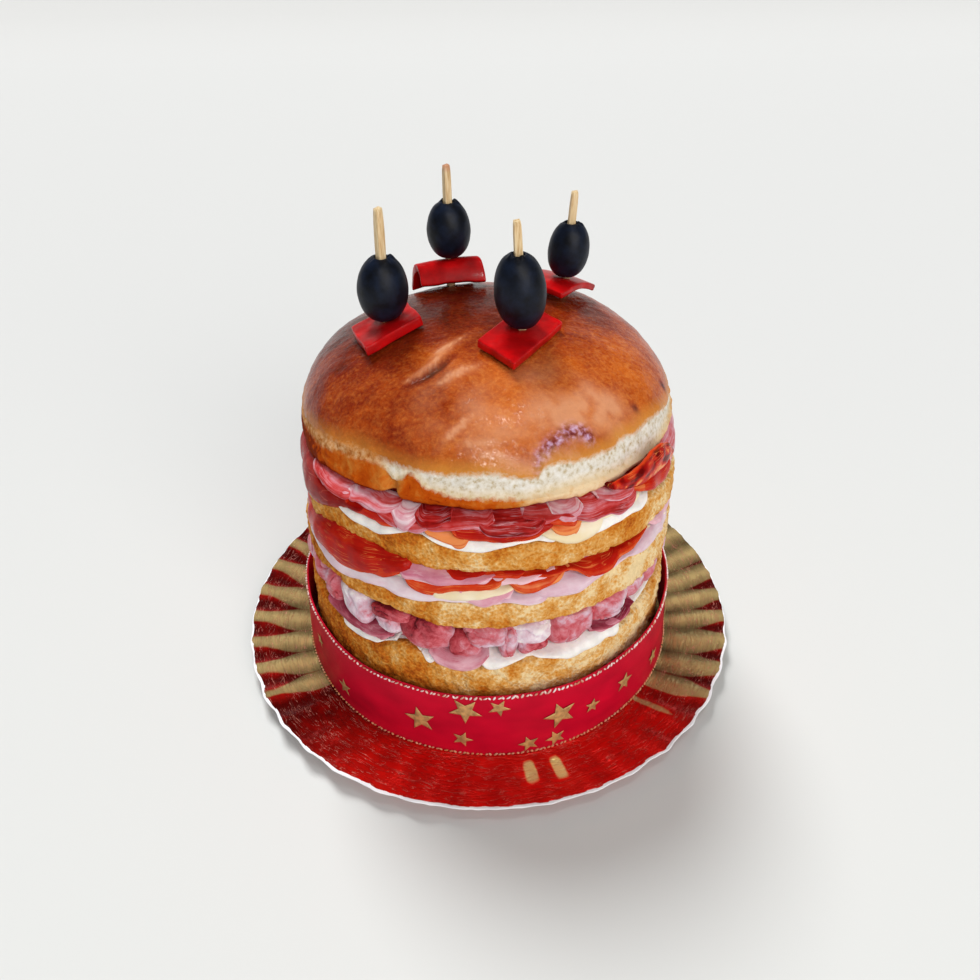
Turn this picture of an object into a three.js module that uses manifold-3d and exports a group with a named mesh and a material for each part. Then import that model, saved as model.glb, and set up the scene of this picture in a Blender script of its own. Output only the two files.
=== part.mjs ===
// Stuffed savoury panettone on a fluted foil plate, tied with a wide ribbon.
//
// Millimetres, +Z up, the front of the loaf towards -Y. The origin is the middle of the plate's underside.
// The loaf is cut across into three slices and a domed top, with a filling between each two. Four sticks
// stand in the dome, and each holds an olive over a piece of pepper.

import * as THREE from 'three';
import { mergeVertices } from 'three/addons/utils/BufferGeometryUtils.js';
import Module from 'manifold-3d';

const wasm = await Module();
wasm.setup();

// Driving dimensions

const CLEARANCE = 0.3; // between pieces that lie on each other
const TURN_STEPS = 48; // facets round the loaf

const PLATE_CARD = 1.1;
const PLATE_RADIUS = 102.2;
const PLATE_WELL_RADIUS = 79;
const PLATE_RIM_RISE = 5.8;
const FLUTE_COUNT = 44;
const FLUTE_DEPTH = 1.2;
const FLUTE_SCALLOP = 0.8;

const RIBBON_WIDTH = 31;
const RIBBON_TOP_RADIUS = 75.1;
const RIBBON_FOOT_RADIUS = 77.1;
const RIBBON_THICKNESS = 0.8;

// Heights over the plate's well, at the loaf's axis
const LOAF_FOOT = CLEARANCE;
const BASE_TOP = 42.5;
const LOWER_FOOT = 60.9;
const LOWER_TOP = 73.4;
const UPPER_FOOT = 83.8;
const UPPER_TOP = 95.5;
const DOME_FOOT = 106;
const DOME_TOP = 139.2;

const BASE_RADIUS = 71.5;
const LOWER_RADIUS = 71.3;
const UPPER_RADIUS = 69.7;
const UPPER_SHIFT = 1; // the upper slice and the dome have slid a little to the right
const DOME_SHIFT = 0.6;

// The dome's crown is a flattened superellipse that springs below the dome's own foot
const CROWN_RADIUS = 66.3;
const CROWN_SPRING = 105.3;
const CROWN_FLATNESS = 2.4;
const CAP_LIFT = 0.5; // the cap stands this much proud of the crown
const CROWN_FULLNESS = 2.3;
const SWELL = { x: 36, y: 32, rise: 2.4, width: 17 };

const STICK_WIDTH = 2.6;
const STICK_DEPTH = 24; // how far a stick goes into the dome
const BORE_RADIUS = 1.9;

// Small helpers

const radians = THREE.MathUtils.degToRad;
const azimuthOf = (x, y) => Math.atan2(x, -y); // 0 at the front, growing to the right
const smooth = t => THREE.MathUtils.smoothstep(t, 0, 1);

// 1 between two azimuths in degrees, falling to 0 over a few degrees outside them
function stretch(azimuth, from, to, fall = 13) {
  const middle = radians((from + to) / 2);
  const away = Math.abs(Math.atan2(Math.sin(azimuth - middle), Math.cos(azimuth - middle)));
  return 1 - smooth((THREE.MathUtils.radToDeg(away) - (to - from) / 2) / fall);
}

function material(color, roughness, metalness = 0) {
  return new THREE.MeshStandardMaterial({ color, roughness, metalness });
}

// Moves every vertex by a rule
function moved(geometry, rule) {
  const position = geometry.getAttribute('position');
  const point = new THREE.Vector3();
  for (let i = 0; i < position.count; i += 1) {
    point.fromBufferAttribute(position, i);
    rule(point);
    position.setXYZ(i, point.x, point.y, point.z);
  }
  return geometry;
}

// As moved, for a fresh geometry whose seams are still open
function reshaped(geometry, rule) {
  moved(geometry, rule);
  geometry.deleteAttribute('normal');
  geometry.deleteAttribute('uv');
  return withoutSlivers(mergeVertices(geometry, 1e-4));
}

// Drops the triangles that a merge has closed to a line, as at a turned body's poles
function withoutSlivers(geometry) {
  const kept = [];
  const index = geometry.index.array;
  for (let i = 0; i < index.length; i += 3) {
    const [a, b, c] = index.slice(i, i + 3);
    if (a !== b && b !== c && c !== a) {
      kept.push(a, b, c);
    }
  }
  geometry.setIndex(kept);
  return geometry;
}

// A profile of [radius, height] pairs turned round the vertical axis, then moved by a rule
function turned(profile, steps, rule = () => {}) {
  const points = profile.map(([radius, height]) => new THREE.Vector2(radius, height));
  const geometry = new THREE.LatheGeometry(points, steps);
  geometry.rotateX(Math.PI / 2);
  return reshaped(geometry, rule);
}

function solidOf(geometry) {
  return new wasm.Manifold(
    new wasm.Mesh({
      numProp: 3,
      vertProperties: new Float32Array(geometry.getAttribute('position').array),
      triVerts: new Uint32Array(geometry.index.array),
    }),
  );
}

function geometryOf(solid) {
  const mesh = solid.getMesh();
  const geometry = new THREE.BufferGeometry();
  geometry.setAttribute('position', new THREE.BufferAttribute(new Float32Array(mesh.vertProperties), 3));
  geometry.setIndex(new THREE.BufferAttribute(new Uint32Array(mesh.triVerts), 1));
  return geometry;
}

// Repeatable draws between 0 and 1
function drawsFrom(seed) {
  let state = seed;
  return () => {
    state = (state * 1664525 + 1013904223) % 4294967296;
    return state / 4294967296;
  };
}

// The slices lean a little, each by its own fall for each millimetre to the right
const FALLS = [
  [BASE_TOP, 0],
  [LOWER_FOOT, 0.045],
  [LOWER_TOP, 0],
  [UPPER_FOOT, 0.057],
  [UPPER_TOP, 0.04],
  [DOME_FOOT, 0],
];

function fallAt(height) {
  if (height <= FALLS[0][0] || height >= FALLS[FALLS.length - 1][0]) {
    return 0;
  }
  const above = FALLS.findIndex(([level]) => level > height);
  const [low, lowFall] = FALLS[above - 1];
  const [high, highFall] = FALLS[above];
  return THREE.MathUtils.mapLinear(height, low, high, lowFall, highFall);
}

// Plate: a flat well and a fluted rim, pressed from one card

function plate() {
  const rimWidth = PLATE_RADIUS - PLATE_WELL_RADIUS;
  const rimLine = [0, 0.4, 1].map(t => [PLATE_WELL_RADIUS + rimWidth * t, PLATE_RIM_RISE * t ** 1.1]);
  const under = [[0, 0], ...rimLine];
  const over = [[0, 0], ...rimLine].map(([radius, height]) => [radius, height + PLATE_CARD]).reverse();
  return turned([...under, ...over], FLUTE_COUNT * 4, point => {
    const radius = Math.hypot(point.x, point.y);
    const out = THREE.MathUtils.clamp((radius - PLATE_WELL_RADIUS) / rimWidth, 0, 1);
    const wave = Math.cos(FLUTE_COUNT * azimuthOf(point.x, point.y));
    const spread = 1 + (FLUTE_SCALLOP * wave * out ** 2) / PLATE_RADIUS;
    point.x *= spread;
    point.y *= spread;
    point.z += FLUTE_DEPTH * wave * out ** 0.7;
  });
}

// Ribbon: one upright band, a little wider at its foot and gently wavy

function ribbon() {
  const profile = [
    [RIBBON_FOOT_RADIUS - RIBBON_THICKNESS, LOAF_FOOT],
    [RIBBON_FOOT_RADIUS, LOAF_FOOT],
    [RIBBON_TOP_RADIUS, LOAF_FOOT + RIBBON_WIDTH],
    [RIBBON_TOP_RADIUS - RIBBON_THICKNESS, LOAF_FOOT + RIBBON_WIDTH],
    [RIBBON_FOOT_RADIUS - RIBBON_THICKNESS, LOAF_FOOT],
  ];
  return turned(profile, TURN_STEPS, point => {
    const azimuth = azimuthOf(point.x, point.y);
    const wave = 0.3 * Math.sin(3 * azimuth + 0.6) + 0.2 * Math.sin(7 * azimuth);
    point.x += wave * Math.sin(azimuth);
    point.y -= wave * Math.cos(azimuth);
  });
}

// Bread

function slice({ radius, foot, top, shift = 0, round = 1.6, phase }) {
  const middle = (foot + top) / 2;
  const profile = [
    [0, foot],
    [radius - round, foot],
    [radius, foot + round],
    [radius + 0.2, middle],
    [radius - 0.1, top - 1.6],
    [radius - 1.9, top],
    [0, top],
  ];
  return turned(profile, TURN_STEPS, point => {
    const azimuth = azimuthOf(point.x, point.y);
    const out = Math.hypot(point.x, point.y) / radius;
    const crag = out * (0.25 * Math.sin(5 * azimuth + phase) + 0.2 * Math.sin(11 * azimuth + 2 * phase));
    point.x += crag * Math.sin(azimuth) + shift;
    point.y -= crag * Math.cos(azimuth);
    point.z -= fallAt(point.z) * point.x;
  });
}

function crownHeight(x, y) {
  const out = Math.min(Math.hypot(x - DOME_SHIFT, y) / CROWN_RADIUS, 1);
  const crown = (1 - out ** CROWN_FULLNESS) ** (1 / CROWN_FLATNESS);
  const swell = Math.exp(-((x - SWELL.x) ** 2 + (y - SWELL.y) ** 2) / SWELL.width ** 2);
  return CROWN_SPRING + (DOME_TOP - CROWN_SPRING) * crown + SWELL.rise * swell * crown;
}

// The dome: a crust ring at its foot, a paler torn band over it, and a glossy cap whose edge stands proud
function dome(picks) {
  const capRadii = [62.8, 60, 55, 48, 38, 24];
  const capFoot = DOME_FOOT + 12.5;
  const domeProfile = [
    [0, DOME_FOOT],
    [63.5, DOME_FOOT],
    [65.8, DOME_FOOT + 1],
    [66.5, DOME_FOOT + 2.8],
    [66.3, DOME_FOOT + 4.8],
    [65.4, DOME_FOOT + 8],
    [64.3, DOME_FOOT + 11.3],
    [64.8, DOME_FOOT + 11.8],
    ...capRadii.map(radius => [radius, crownHeight(DOME_SHIFT - radius, 0) + CAP_LIFT]),
    [0, DOME_TOP],
  ];
  const geometry = turned(domeProfile, TURN_STEPS, point => {
    const radius = Math.hypot(point.x, point.y);
    const azimuth = azimuthOf(point.x, point.y);
    const crag = (radius / CROWN_RADIUS) ** 6 * (0.3 * Math.sin(5 * azimuth) + 0.25 * Math.sin(8 * azimuth + 1));
    point.x += crag * Math.sin(azimuth) + DOME_SHIFT;
    point.y -= crag * Math.cos(azimuth);
    if (point.z > capFoot) {
      point.z += crownHeight(point.x, point.y) - crownHeight(DOME_SHIFT - radius, 0);
    }
  });
  const cuts = [tear(), ...picks.map(pick => solidOf(bore(pick)))];
  return geometryOf(cuts.reduce((solid, cut) => solid.subtract(cut), solidOf(geometry)));
}

// The split in the dome's crust ring, left of the front
function tear() {
  const outline = new THREE.Shape([
    new THREE.Vector2(-2.2, -2),
    new THREE.Vector2(2.4, -2),
    new THREE.Vector2(0.9, 7),
    new THREE.Vector2(-1.2, 5),
  ]);
  const wedge = new THREE.ExtrudeGeometry(outline, { depth: 12, bevelEnabled: false });
  wedge.rotateX(Math.PI / 2);
  wedge.translate(0, -CROWN_RADIUS + 5, DOME_FOOT + 1);
  wedge.rotateZ(radians(-25));
  return solidOf(reshaped(wedge, () => {}));
}

// Fillings

// The sheets of a filling drape alike: flat out to a brink, then down a slope that changes slowly round the loaf
const DRAPES = {
  base: { brink: BASE_RADIUS - 1.6, slope: 0.68, shift: 0, phase: 0.4 },
  middle: { brink: LOWER_RADIUS - 1.6, slope: 0.62, shift: 0, phase: 2.1 },
  top: { brink: UPPER_RADIUS - 1.6, slope: 0.62, shift: UPPER_SHIFT, phase: 4 },
};

// A sheet runs through the whole loaf. Each fold is a stretch of its rim, [from, to, radius], that reaches out to
// the radius between two azimuths in degrees.
function sheet({ drape, low, high, inside, folds, phase }) {
  const { brink, slope, shift } = DRAPES[drape];
  const ripple = 0.3;
  const edge = 0.3; // least width of the ring outside the flat middle
  const step = (2 * Math.PI) / TURN_STEPS;
  const reachAt = azimuth => {
    const reach = Math.max(...folds.map(([from, to, fold]) => stretch(azimuth, from, to) * (fold - inside)));
    return inside + reach + ripple * Math.sin(9 * azimuth + phase);
  };
  // A rim that comes out from inside the brink doesn't start to fall until the next step
  const rimAt = azimuth => {
    const beside = Math.min(reachAt(azimuth - step), reachAt(azimuth + step));
    return beside < brink ? Math.min(reachAt(azimuth), brink + edge) : reachAt(azimuth);
  };
  const rings = [[0, low], [1, low], [2, low], [2, high], [1, high], [0, high]];
  return turned(rings, TURN_STEPS, point => {
    const azimuth = azimuthOf(point.x, point.y);
    const rim = rimAt(azimuth);
    const radius = [0, Math.min(brink, rim - edge), rim][Math.round(Math.hypot(point.x, point.y))];
    const fall = slope + 0.1 * Math.sin(2 * azimuth + DRAPES[drape].phase);
    point.x = radius * Math.sin(azimuth) + shift;
    point.y = -radius * Math.cos(azimuth);
    point.z -= fallAt(point.z) * point.x + fall * Math.max(radius - brink, 0);
  });
}

const SHEETS = [
  {
    name: 'base_spread',
    drape: 'base',
    color: 0xf1e7d2,
    low: BASE_TOP + 0.3,
    high: BASE_TOP + 1.6,
    inside: 69,
    folds: [
      [-46, -34, 71.4],
      [-18, -14, 71.4],
      [3, 40, 71.9],
      [100, 150, 71.6],
      [190, 250, 71.6],
    ],
  },
  {
    name: 'base_ham',
    drape: 'base',
    color: 0xc97f86,
    low: BASE_TOP + 1.9,
    high: BASE_TOP + 3.5,
    inside: 66,
    folds: [
      [-56, -30, 72.6],
      [-12, -4, 73],
      [50, 64, 72],
      [160, 185, 72.6],
      [250, 270, 71.6],
    ],
  },
  {
    name: 'middle_ham',
    drape: 'middle',
    color: 0xcbb0bc,
    low: LOWER_TOP + 0.3,
    high: LOWER_TOP + 2.7,
    inside: 70,
    folds: [
      [-110, -62, 70.1],
      [-46, -12, 72.8],
      [-3, 1, 73.4],
      [10, 44, 72.6],
      [60, 100, 70.9],
      [120, 170, 72.4],
      [195, 240, 72.4],
    ],
  },
  {
    name: 'middle_cheese',
    drape: 'middle',
    color: 0xeee0c0,
    low: LOWER_TOP + 3,
    high: LOWER_TOP + 4.8,
    inside: 69,
    folds: [
      [-14, 8, 71],
      [66, 88, 70.8],
      [170, 190, 71],
    ],
  },
  {
    name: 'middle_salami',
    drape: 'middle',
    color: 0xa8201a,
    low: LOWER_TOP + 5.1,
    high: LOWER_TOP + 7.4,
    inside: 68,
    folds: [
      [-110, -62, 69.9],
      [-46, -30, 72],
      [-17, 0, 72.2],
      [14, 38, 72],
      [85, 125, 70.8],
      [140, 175, 72],
      [195, 235, 72],
    ],
  },
  {
    name: 'middle_pink_ham',
    drape: 'middle',
    color: 0xc88a90,
    low: LOWER_TOP + 7.7,
    high: UPPER_FOOT - 0.3,
    inside: 68,
    folds: [
      [-22, -10, 70.4],
      [54, 76, 70.8],
      [120, 145, 70.4],
    ],
  },
  {
    name: 'top_spread',
    drape: 'top',
    color: 0xf0e6d0,
    low: UPPER_TOP + 0.3,
    high: UPPER_TOP + 1.8,
    inside: 68,
    folds: [
      [-40, -30, 70],
      [-12, 10, 70.3],
      [22, 52, 70.2],
      [110, 180, 70],
      [210, 255, 70],
    ],
  },
  {
    name: 'top_cheese',
    drape: 'top',
    color: 0xf0dca8,
    low: UPPER_TOP + 2.1,
    high: UPPER_TOP + 3.5,
    inside: 66,
    folds: [
      [19, 38, 71],
      [150, 175, 70.8],
    ],
  },
  {
    name: 'top_salami',
    drape: 'top',
    color: 0xa01c18,
    low: UPPER_TOP + 3.8,
    high: UPPER_TOP + 6.1,
    inside: 66,
    folds: [
      [-38, -24, 71],
      [-13, 11, 71.4],
      [44, 64, 69.6],
      [90, 130, 69.4],
      [185, 235, 71],
    ],
  },
  {
    name: 'top_cured_ham',
    drape: 'top',
    color: 0x701014,
    low: UPPER_TOP + 6.4,
    high: UPPER_TOP + 7.9,
    inside: 62,
    folds: [
      [-80, -46, 68.5],
      [135, 175, 70.4],
    ],
  },
  {
    name: 'top_ham',
    drape: 'top',
    color: 0xb0606e,
    low: UPPER_TOP + 8.2,
    high: DOME_FOOT - 0.3,
    inside: 60,
    folds: [
      [-68, -42, 67.6],
      [-32, 21, 71.2],
      [88, 122, 69.2],
      [190, 240, 70.8],
    ],
  },
];

// The heap in the lowest filling: a core with crumpled pieces of meat standing out all round it
function meatHeap() {
  const low = BASE_TOP + 3.9;
  const high = LOWER_FOOT - 0.35;
  const coreRadius = 60;
  const pieceCount = 29;
  const pieceSize = 7.4;
  const draw = drawsFrom(11);
  const core = turned([[0, low], [coreRadius, low], [coreRadius, high], [0, high]], 30);
  let heap = solidOf(core);
  for (let i = 0; i < pieceCount; i += 1) {
    const azimuth = (2 * Math.PI * (i + 0.35 * draw())) / pieceCount;
    const width = pieceSize * (0.85 + 0.4 * draw());
    const depth = pieceSize * (0.9 + 0.25 * draw());
    const height = pieceSize * (0.75 + 0.35 * draw());
    const centre = low + (high - low) * (0.42 + 0.16 * draw());
    const phase = 6 * draw();
    const piece = new THREE.DodecahedronGeometry(1, 0);
    const standing = reshaped(piece, point => {
      const crumple = 1 + 0.13 * Math.sin(4 * point.x + phase) * Math.cos(5 * point.z - phase);
      point.multiplyScalar(crumple);
      point.set(point.x * width, point.y * depth, point.z * height);
    });
    standing.rotateX(0.5 * draw() - 0.25);
    standing.translate(0, -coreRadius - 3.9, centre);
    standing.rotateZ(azimuth);
    heap = heap.add(solidOf(standing));
  }
  const space = turned([[0, low], [90, low], [90, high], [0, high]], 12);
  const trimmed = geometryOf(heap.intersect(solidOf(space)));
  return moved(trimmed, point => {
    point.z -= fallAt(point.z) * point.x;
  });
}

// A slice that flops out of the top filling at the right and stands up against the dome
function flap() {
  const path = new THREE.SplineCurve([
    new THREE.Vector2(62, 104.6),
    new THREE.Vector2(67, 104.4),
    new THREE.Vector2(69.4, 105.6),
    new THREE.Vector2(69.9, 108.6),
    new THREE.Vector2(69.3, 113),
  ]);
  const thickness = 1.5;
  const middle = radians(49);
  const halfSweep = radians(13);
  return reshaped(new THREE.BoxGeometry(2, 1, 1, 6, 7, 1), point => {
    const along = THREE.MathUtils.clamp(point.y + 0.5, 0, 1);
    const onPath = path.getPoint(along);
    const across = path.getTangent(along).rotateAround(new THREE.Vector2(), -Math.PI / 2);
    const radius = onPath.x + across.x * thickness * point.z;
    const height = onPath.y + across.y * thickness * point.z;
    const azimuth = middle + halfSweep * point.x * Math.sqrt(1 - 0.8 * Math.max(along - 0.45, 0) ** 1.2);
    point.set(radius * Math.sin(azimuth), -radius * Math.cos(azimuth), height);
  });
}

// Picks: each has a stick, an olive and a piece of pepper, and stands at a place on the dome. lean is how far
// the stick moves in x for each millimetre up. A pepper's middle is a step in x and y from the stick, and along
// and across are half its sides. It lies flat where it is stiff and follows the dome where it isn't; arch is how
// far its middle stands up, and tip how far its front end does.
const PICKS = [
  {
    name: 'front',
    at: [12.5, -15.2],
    turn: 8,
    lean: -0.055,
    stickTop: 177,
    olive: { width: 16.9, height: 24.6 },
    pepper: {
      middle: [-0.4, -1.6],
      along: [5.8, -6.2],
      across: [8.4, 12.5],
      thickness: 3,
      stiffness: 0.8,
      arch: 0,
      tip: 0,
    },
  },
  {
    name: 'left',
    at: [-33.2, -3.4],
    turn: 42,
    lean: 0.03,
    stickTop: 177.6,
    olive: { width: 17.1, height: 21.8 },
    pepper: {
      middle: [0.1, -1.1],
      along: [3.4, -9],
      across: [9, 6.5],
      thickness: 3.4,
      stiffness: 0.9,
      arch: 0,
      tip: 0,
    },
  },
  {
    name: 'back',
    at: [-12.1, 38],
    turn: 30,
    lean: 0,
    stickTop: 179,
    olive: { width: 16.3, height: 20.6 },
    pepper: {
      middle: [-1.2, 0],
      along: [12.1, 0],
      across: [-2.6, 8.6],
      thickness: 3,
      stiffness: 0,
      arch: 7.6,
      tip: 2.7,
    },
  },
  {
    name: 'right',
    at: [30.2, 24],
    turn: 5,
    lean: 0.06,
    stickTop: 173.4,
    olive: { width: 14.9, height: 19.6 },
    pepper: {
      middle: [-3.4, 0],
      along: [8.1, -6],
      across: [7.1, 8.7],
      thickness: 2.4,
      stiffness: 0,
      arch: 3.6,
      tip: 0,
    },
  },
];

const cross = ([ax, ay], [bx, by]) => ax * by - ay * bx;

// A point of a pepper's underside, s and t sides from its middle
function underPepper({ at, pepper }, s, t) {
  const { middle, along, across, stiffness, arch, tip } = pepper;
  const [midX, midY] = [at[0] + middle[0], at[1] + middle[1]];
  const x = midX + s * along[0] + t * across[0];
  const y = midY + s * along[1] + t * across[1];
  const slopeX = (crownHeight(midX + 1, midY) - crownHeight(midX - 1, midY)) / 2;
  const slopeY = (crownHeight(midX, midY + 1) - crownHeight(midX, midY - 1)) / 2;
  const flat = crownHeight(midX, midY) + slopeX * (x - midX) + slopeY * (y - midY);
  const lying = THREE.MathUtils.lerp(crownHeight(x, y), flat, stiffness);
  const standing = arch * (1 - t * t) + tip * Math.max(-t, 0);
  return new THREE.Vector3(x, y, lying + standing + CAP_LIFT + CLEARANCE);
}

// Height of a pepper's upper side at its stick
function seatOf(pick) {
  const { middle, along, across, thickness } = pick.pepper;
  const toStick = [-middle[0], -middle[1]];
  const s = cross(toStick, across) / cross(along, across);
  const t = cross(along, toStick) / cross(along, across);
  return underPepper(pick, s, t).z + thickness;
}

function leaning(geometry, pick) {
  const seat = seatOf(pick);
  return moved(geometry, point => {
    point.x += pick.at[0] + pick.lean * (point.z - seat);
    point.y += pick.at[1];
  });
}

function bore(pick) {
  const foot = crownHeight(...pick.at) - STICK_DEPTH - CLEARANCE;
  const above = pick.stickTop;
  const profile = [[0, foot], [BORE_RADIUS, foot], [BORE_RADIUS, above], [0, above]];
  return leaning(turned(profile, 8), pick);
}

function stick(pick) {
  const half = STICK_WIDTH / 2;
  const bevel = 0.45;
  const section = new THREE.Shape([
    new THREE.Vector2(half - bevel, -half),
    new THREE.Vector2(half, -half + bevel),
    new THREE.Vector2(half, half - bevel),
    new THREE.Vector2(half - bevel, half),
    new THREE.Vector2(-half + bevel, half),
    new THREE.Vector2(-half, half - bevel),
    new THREE.Vector2(-half, -half + bevel),
    new THREE.Vector2(-half + bevel, -half),
  ]);
  const foot = crownHeight(...pick.at) - STICK_DEPTH;
  const geometry = new THREE.ExtrudeGeometry(section, { depth: pick.stickTop - foot, bevelEnabled: false });
  geometry.rotateZ(radians(pick.turn));
  geometry.translate(0, 0, foot);
  return leaning(reshaped(geometry, () => {}), pick);
}

function olive(pick) {
  const { width, height } = pick.olive;
  const foot = seatOf(pick) + 0.5;
  const start = Math.asin((2 * BORE_RADIUS) / width);
  const rows = 7;
  const profile = [];
  for (let i = 0; i <= rows; i += 1) {
    const angle = start + ((Math.PI - 2 * start) * i) / rows;
    const plump = (width / 2) * (1 + 0.04 * Math.cos(angle));
    profile.push([plump * Math.sin(angle), foot + (height / 2) * (1 - Math.cos(angle) / Math.cos(start))]);
  }
  profile[0][0] = BORE_RADIUS;
  profile[rows][0] = BORE_RADIUS;
  return leaning(turned([...profile, profile[0]], 12), pick);
}

function pepper(pick) {
  const slab = reshaped(new THREE.BoxGeometry(2, 2, 1, 4, 4, 1), point => {
    const rise = pick.pepper.thickness * (point.z + 0.5);
    point.copy(underPepper(pick, point.x, point.y));
    point.z += rise;
  });
  return geometryOf(solidOf(slab).subtract(solidOf(bore(pick))));
}

// Assembly

const group = new THREE.Group();
const stack = new THREE.Group();
stack.position.z = PLATE_CARD;
group.add(stack);

function place(parent, name, geometry, look) {
  const mesh = new THREE.Mesh(geometry, look);
  mesh.name = name;
  parent.add(mesh);
}

place(group, 'plate', plate(), material(0x8f0f10, 0.25, 0.9));
place(stack, 'ribbon', ribbon(), material(0xc1122c, 0.45));

const bread = { color: 0xd9a55c, roughness: 0.85 };
place(
  stack,
  'bread_base',
  slice({ radius: BASE_RADIUS, foot: LOAF_FOOT, top: BASE_TOP, round: 4, phase: 0.4 }),
  material(bread.color, bread.roughness),
);
place(
  stack,
  'bread_lower',
  slice({ radius: LOWER_RADIUS, foot: LOWER_FOOT, top: LOWER_TOP, phase: 1.7 }),
  material(bread.color, bread.roughness),
);
place(
  stack,
  'bread_upper',
  slice({ radius: UPPER_RADIUS, foot: UPPER_FOOT, top: UPPER_TOP, shift: UPPER_SHIFT, phase: 2.9 }),
  material(bread.color, bread.roughness),
);
place(stack, 'bread_dome', dome(PICKS), material(0xb4622c, 0.4));

place(stack, 'base_meat', meatHeap(), material(0xb87484, 0.5));
SHEETS.forEach((layer, index) => {
  place(stack, layer.name, sheet({ ...layer, phase: index }), material(layer.color, 0.45));
});
place(stack, 'top_salami_flap', flap(), material(0xa81e1c, 0.35));

for (const pick of PICKS) {
  place(stack, `stick_${pick.name}`, stick(pick), material(0xe0c898, 0.7));
  place(stack, `olive_${pick.name}`, olive(pick), material(0x12161f, 0.35));
  place(stack, `pepper_${pick.name}`, pepper(pick), material(0xb41418, 0.3));
}

export default group;
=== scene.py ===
"""Dresses the stuffed savoury panettone: a domed loaf in slices with its fillings, picks, ribbon and foil plate."""

import math

import bmesh
import bpy
import numpy as np
from bpy.props import FloatProperty, FloatVectorProperty, PointerProperty
from mathutils import Matrix, Vector, noise


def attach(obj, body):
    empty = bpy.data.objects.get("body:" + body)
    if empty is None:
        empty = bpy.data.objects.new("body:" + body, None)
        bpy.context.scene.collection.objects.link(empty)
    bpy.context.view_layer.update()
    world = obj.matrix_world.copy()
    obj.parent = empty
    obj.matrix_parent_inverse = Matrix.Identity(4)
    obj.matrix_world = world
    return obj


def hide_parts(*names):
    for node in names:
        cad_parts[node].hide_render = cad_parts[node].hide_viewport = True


bl_info = {
    "name": "Stuffed Savoury Panettone",
    "version": (1, 0, 0),
    "blender": (4, 5, 0),
    "location": "View3D > Sidebar > Panettone",
    "description": "Builds a stuffed savoury panettone on its foil plate",
    "category": "Add Mesh",
}

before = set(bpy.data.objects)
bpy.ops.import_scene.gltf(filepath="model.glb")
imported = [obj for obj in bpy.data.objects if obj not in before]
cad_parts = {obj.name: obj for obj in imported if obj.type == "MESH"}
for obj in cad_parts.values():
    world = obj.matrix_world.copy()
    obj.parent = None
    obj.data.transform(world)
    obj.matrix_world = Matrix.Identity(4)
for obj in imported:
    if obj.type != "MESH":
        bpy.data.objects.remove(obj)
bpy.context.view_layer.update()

MM = 0.001
CARD = 1.1  # mm, the plate's card; every height below is in mm over the plate's well
TURN = 360.0

# The slices' cut faces lean a little: how far each height falls for each mm in x
FALL_HEIGHTS = [42.5, 60.9, 73.4, 83.8, 95.5, 106.0]
FALLS = [0.0, 0.045, 0.0, 0.057, 0.04, 0.0]
SAG = [(-118, 0), (-96, -3.6), (-80, -5.2), (-68, -5.2), (-62, -4.4), (-56, -2.6), (-49, 0), (57, 0), (64, -2.4), (71, -4.2),
       (84, -4.6), (108, 0)]

CROWN_RADIUS = 66.3
CROWN_SPRING = 105.3
CROWN_TOP = 139.2
CROWN_SHIFT = 0.6
CAP_LIFT = 0.5


def linear(code):
    """The linear colour of an sRGB hex value."""
    values = [int(code[i : i + 2], 16) / 255 for i in (1, 3, 5)]
    return tuple(v / 12.92 if v <= 0.04045 else ((v + 0.055) / 1.055) ** 2.4 for v in values)


def paint(colour):
    """A hex value or a linear colour with full cover, as a shader's colour socket takes it."""
    return (*(linear(colour) if isinstance(colour, str) else colour), 1.0)


def toned(colour, share):
    """A user's colour, darker or lighter."""
    return tuple(min(v * share, 1.0) for v in colour)


# Shapes that the solids and the dressed pieces share


def fall_at(z):
    return np.interp(z, FALL_HEIGHTS, FALLS)


def sag_at(z, azimuth):
    """How far the slices and fillings sink at the loaf's two sides."""
    sides = along_line(SAG, azimuth)
    return sides * np.interp(z, [50, 62, 99, 105], [0, 1, 1, 0])


def crown_height(x, y):
    """Height of the bare dome, in mm."""
    out = np.minimum(np.hypot(x - CROWN_SHIFT, y) / CROWN_RADIUS, 1.0)
    fullness = (1 - out**2.3) ** (1 / 2.4)
    swell = 2.4 * np.exp(-((x - 36) ** 2 + (y - 32) ** 2) / 17**2)
    return CROWN_SPRING + (CROWN_TOP - CROWN_SPRING + swell) * fullness


def azimuth_of(points):
    """Degrees round the loaf from the front, growing to the right."""
    return np.degrees(np.arctan2(points[:, 0], -points[:, 1]))


def along_line(table, azimuth):
    """A height or reach that is given at some azimuths, at others, all the way round."""
    places, values = zip(*table)
    return np.interp(azimuth, places, values, period=TURN)


def smooth(x):
    x = np.clip(x, 0.0, 1.0)
    return x * x * (3 - 2 * x)


def wander(points, size, seed=0, octaves=3):
    """Soft noise of about -1 to 1 at each point, in lumps of about that size in mm."""
    shift = Vector((17.3 * seed, 5.1 * seed, 9.7 * seed))
    return np.array([noise.fractal(Vector(p) / size + shift, 1.0, 2.0, octaves) for p in points])


def ridges(points, size, seed=0):
    """Noise of 0 to 1 with sharp crests."""
    return 1 - np.abs(wander(points, size, seed, 2))


# Modelling


def deselect():
    if bpy.context.mode != "OBJECT":
        bpy.ops.object.mode_set(mode="OBJECT")
    bpy.ops.object.select_all(action="DESELECT")


def pick_only(piece):
    deselect()
    piece.select_set(True)
    bpy.context.view_layer.objects.active = piece


def begin(name, primitive, **settings):
    """A new piece from one of Blender's primitives."""
    deselect()
    getattr(bpy.ops.mesh, f"primitive_{primitive}_add")(**settings)
    piece = bpy.context.active_object
    piece.name = piece.data.name = name
    return piece


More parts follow.
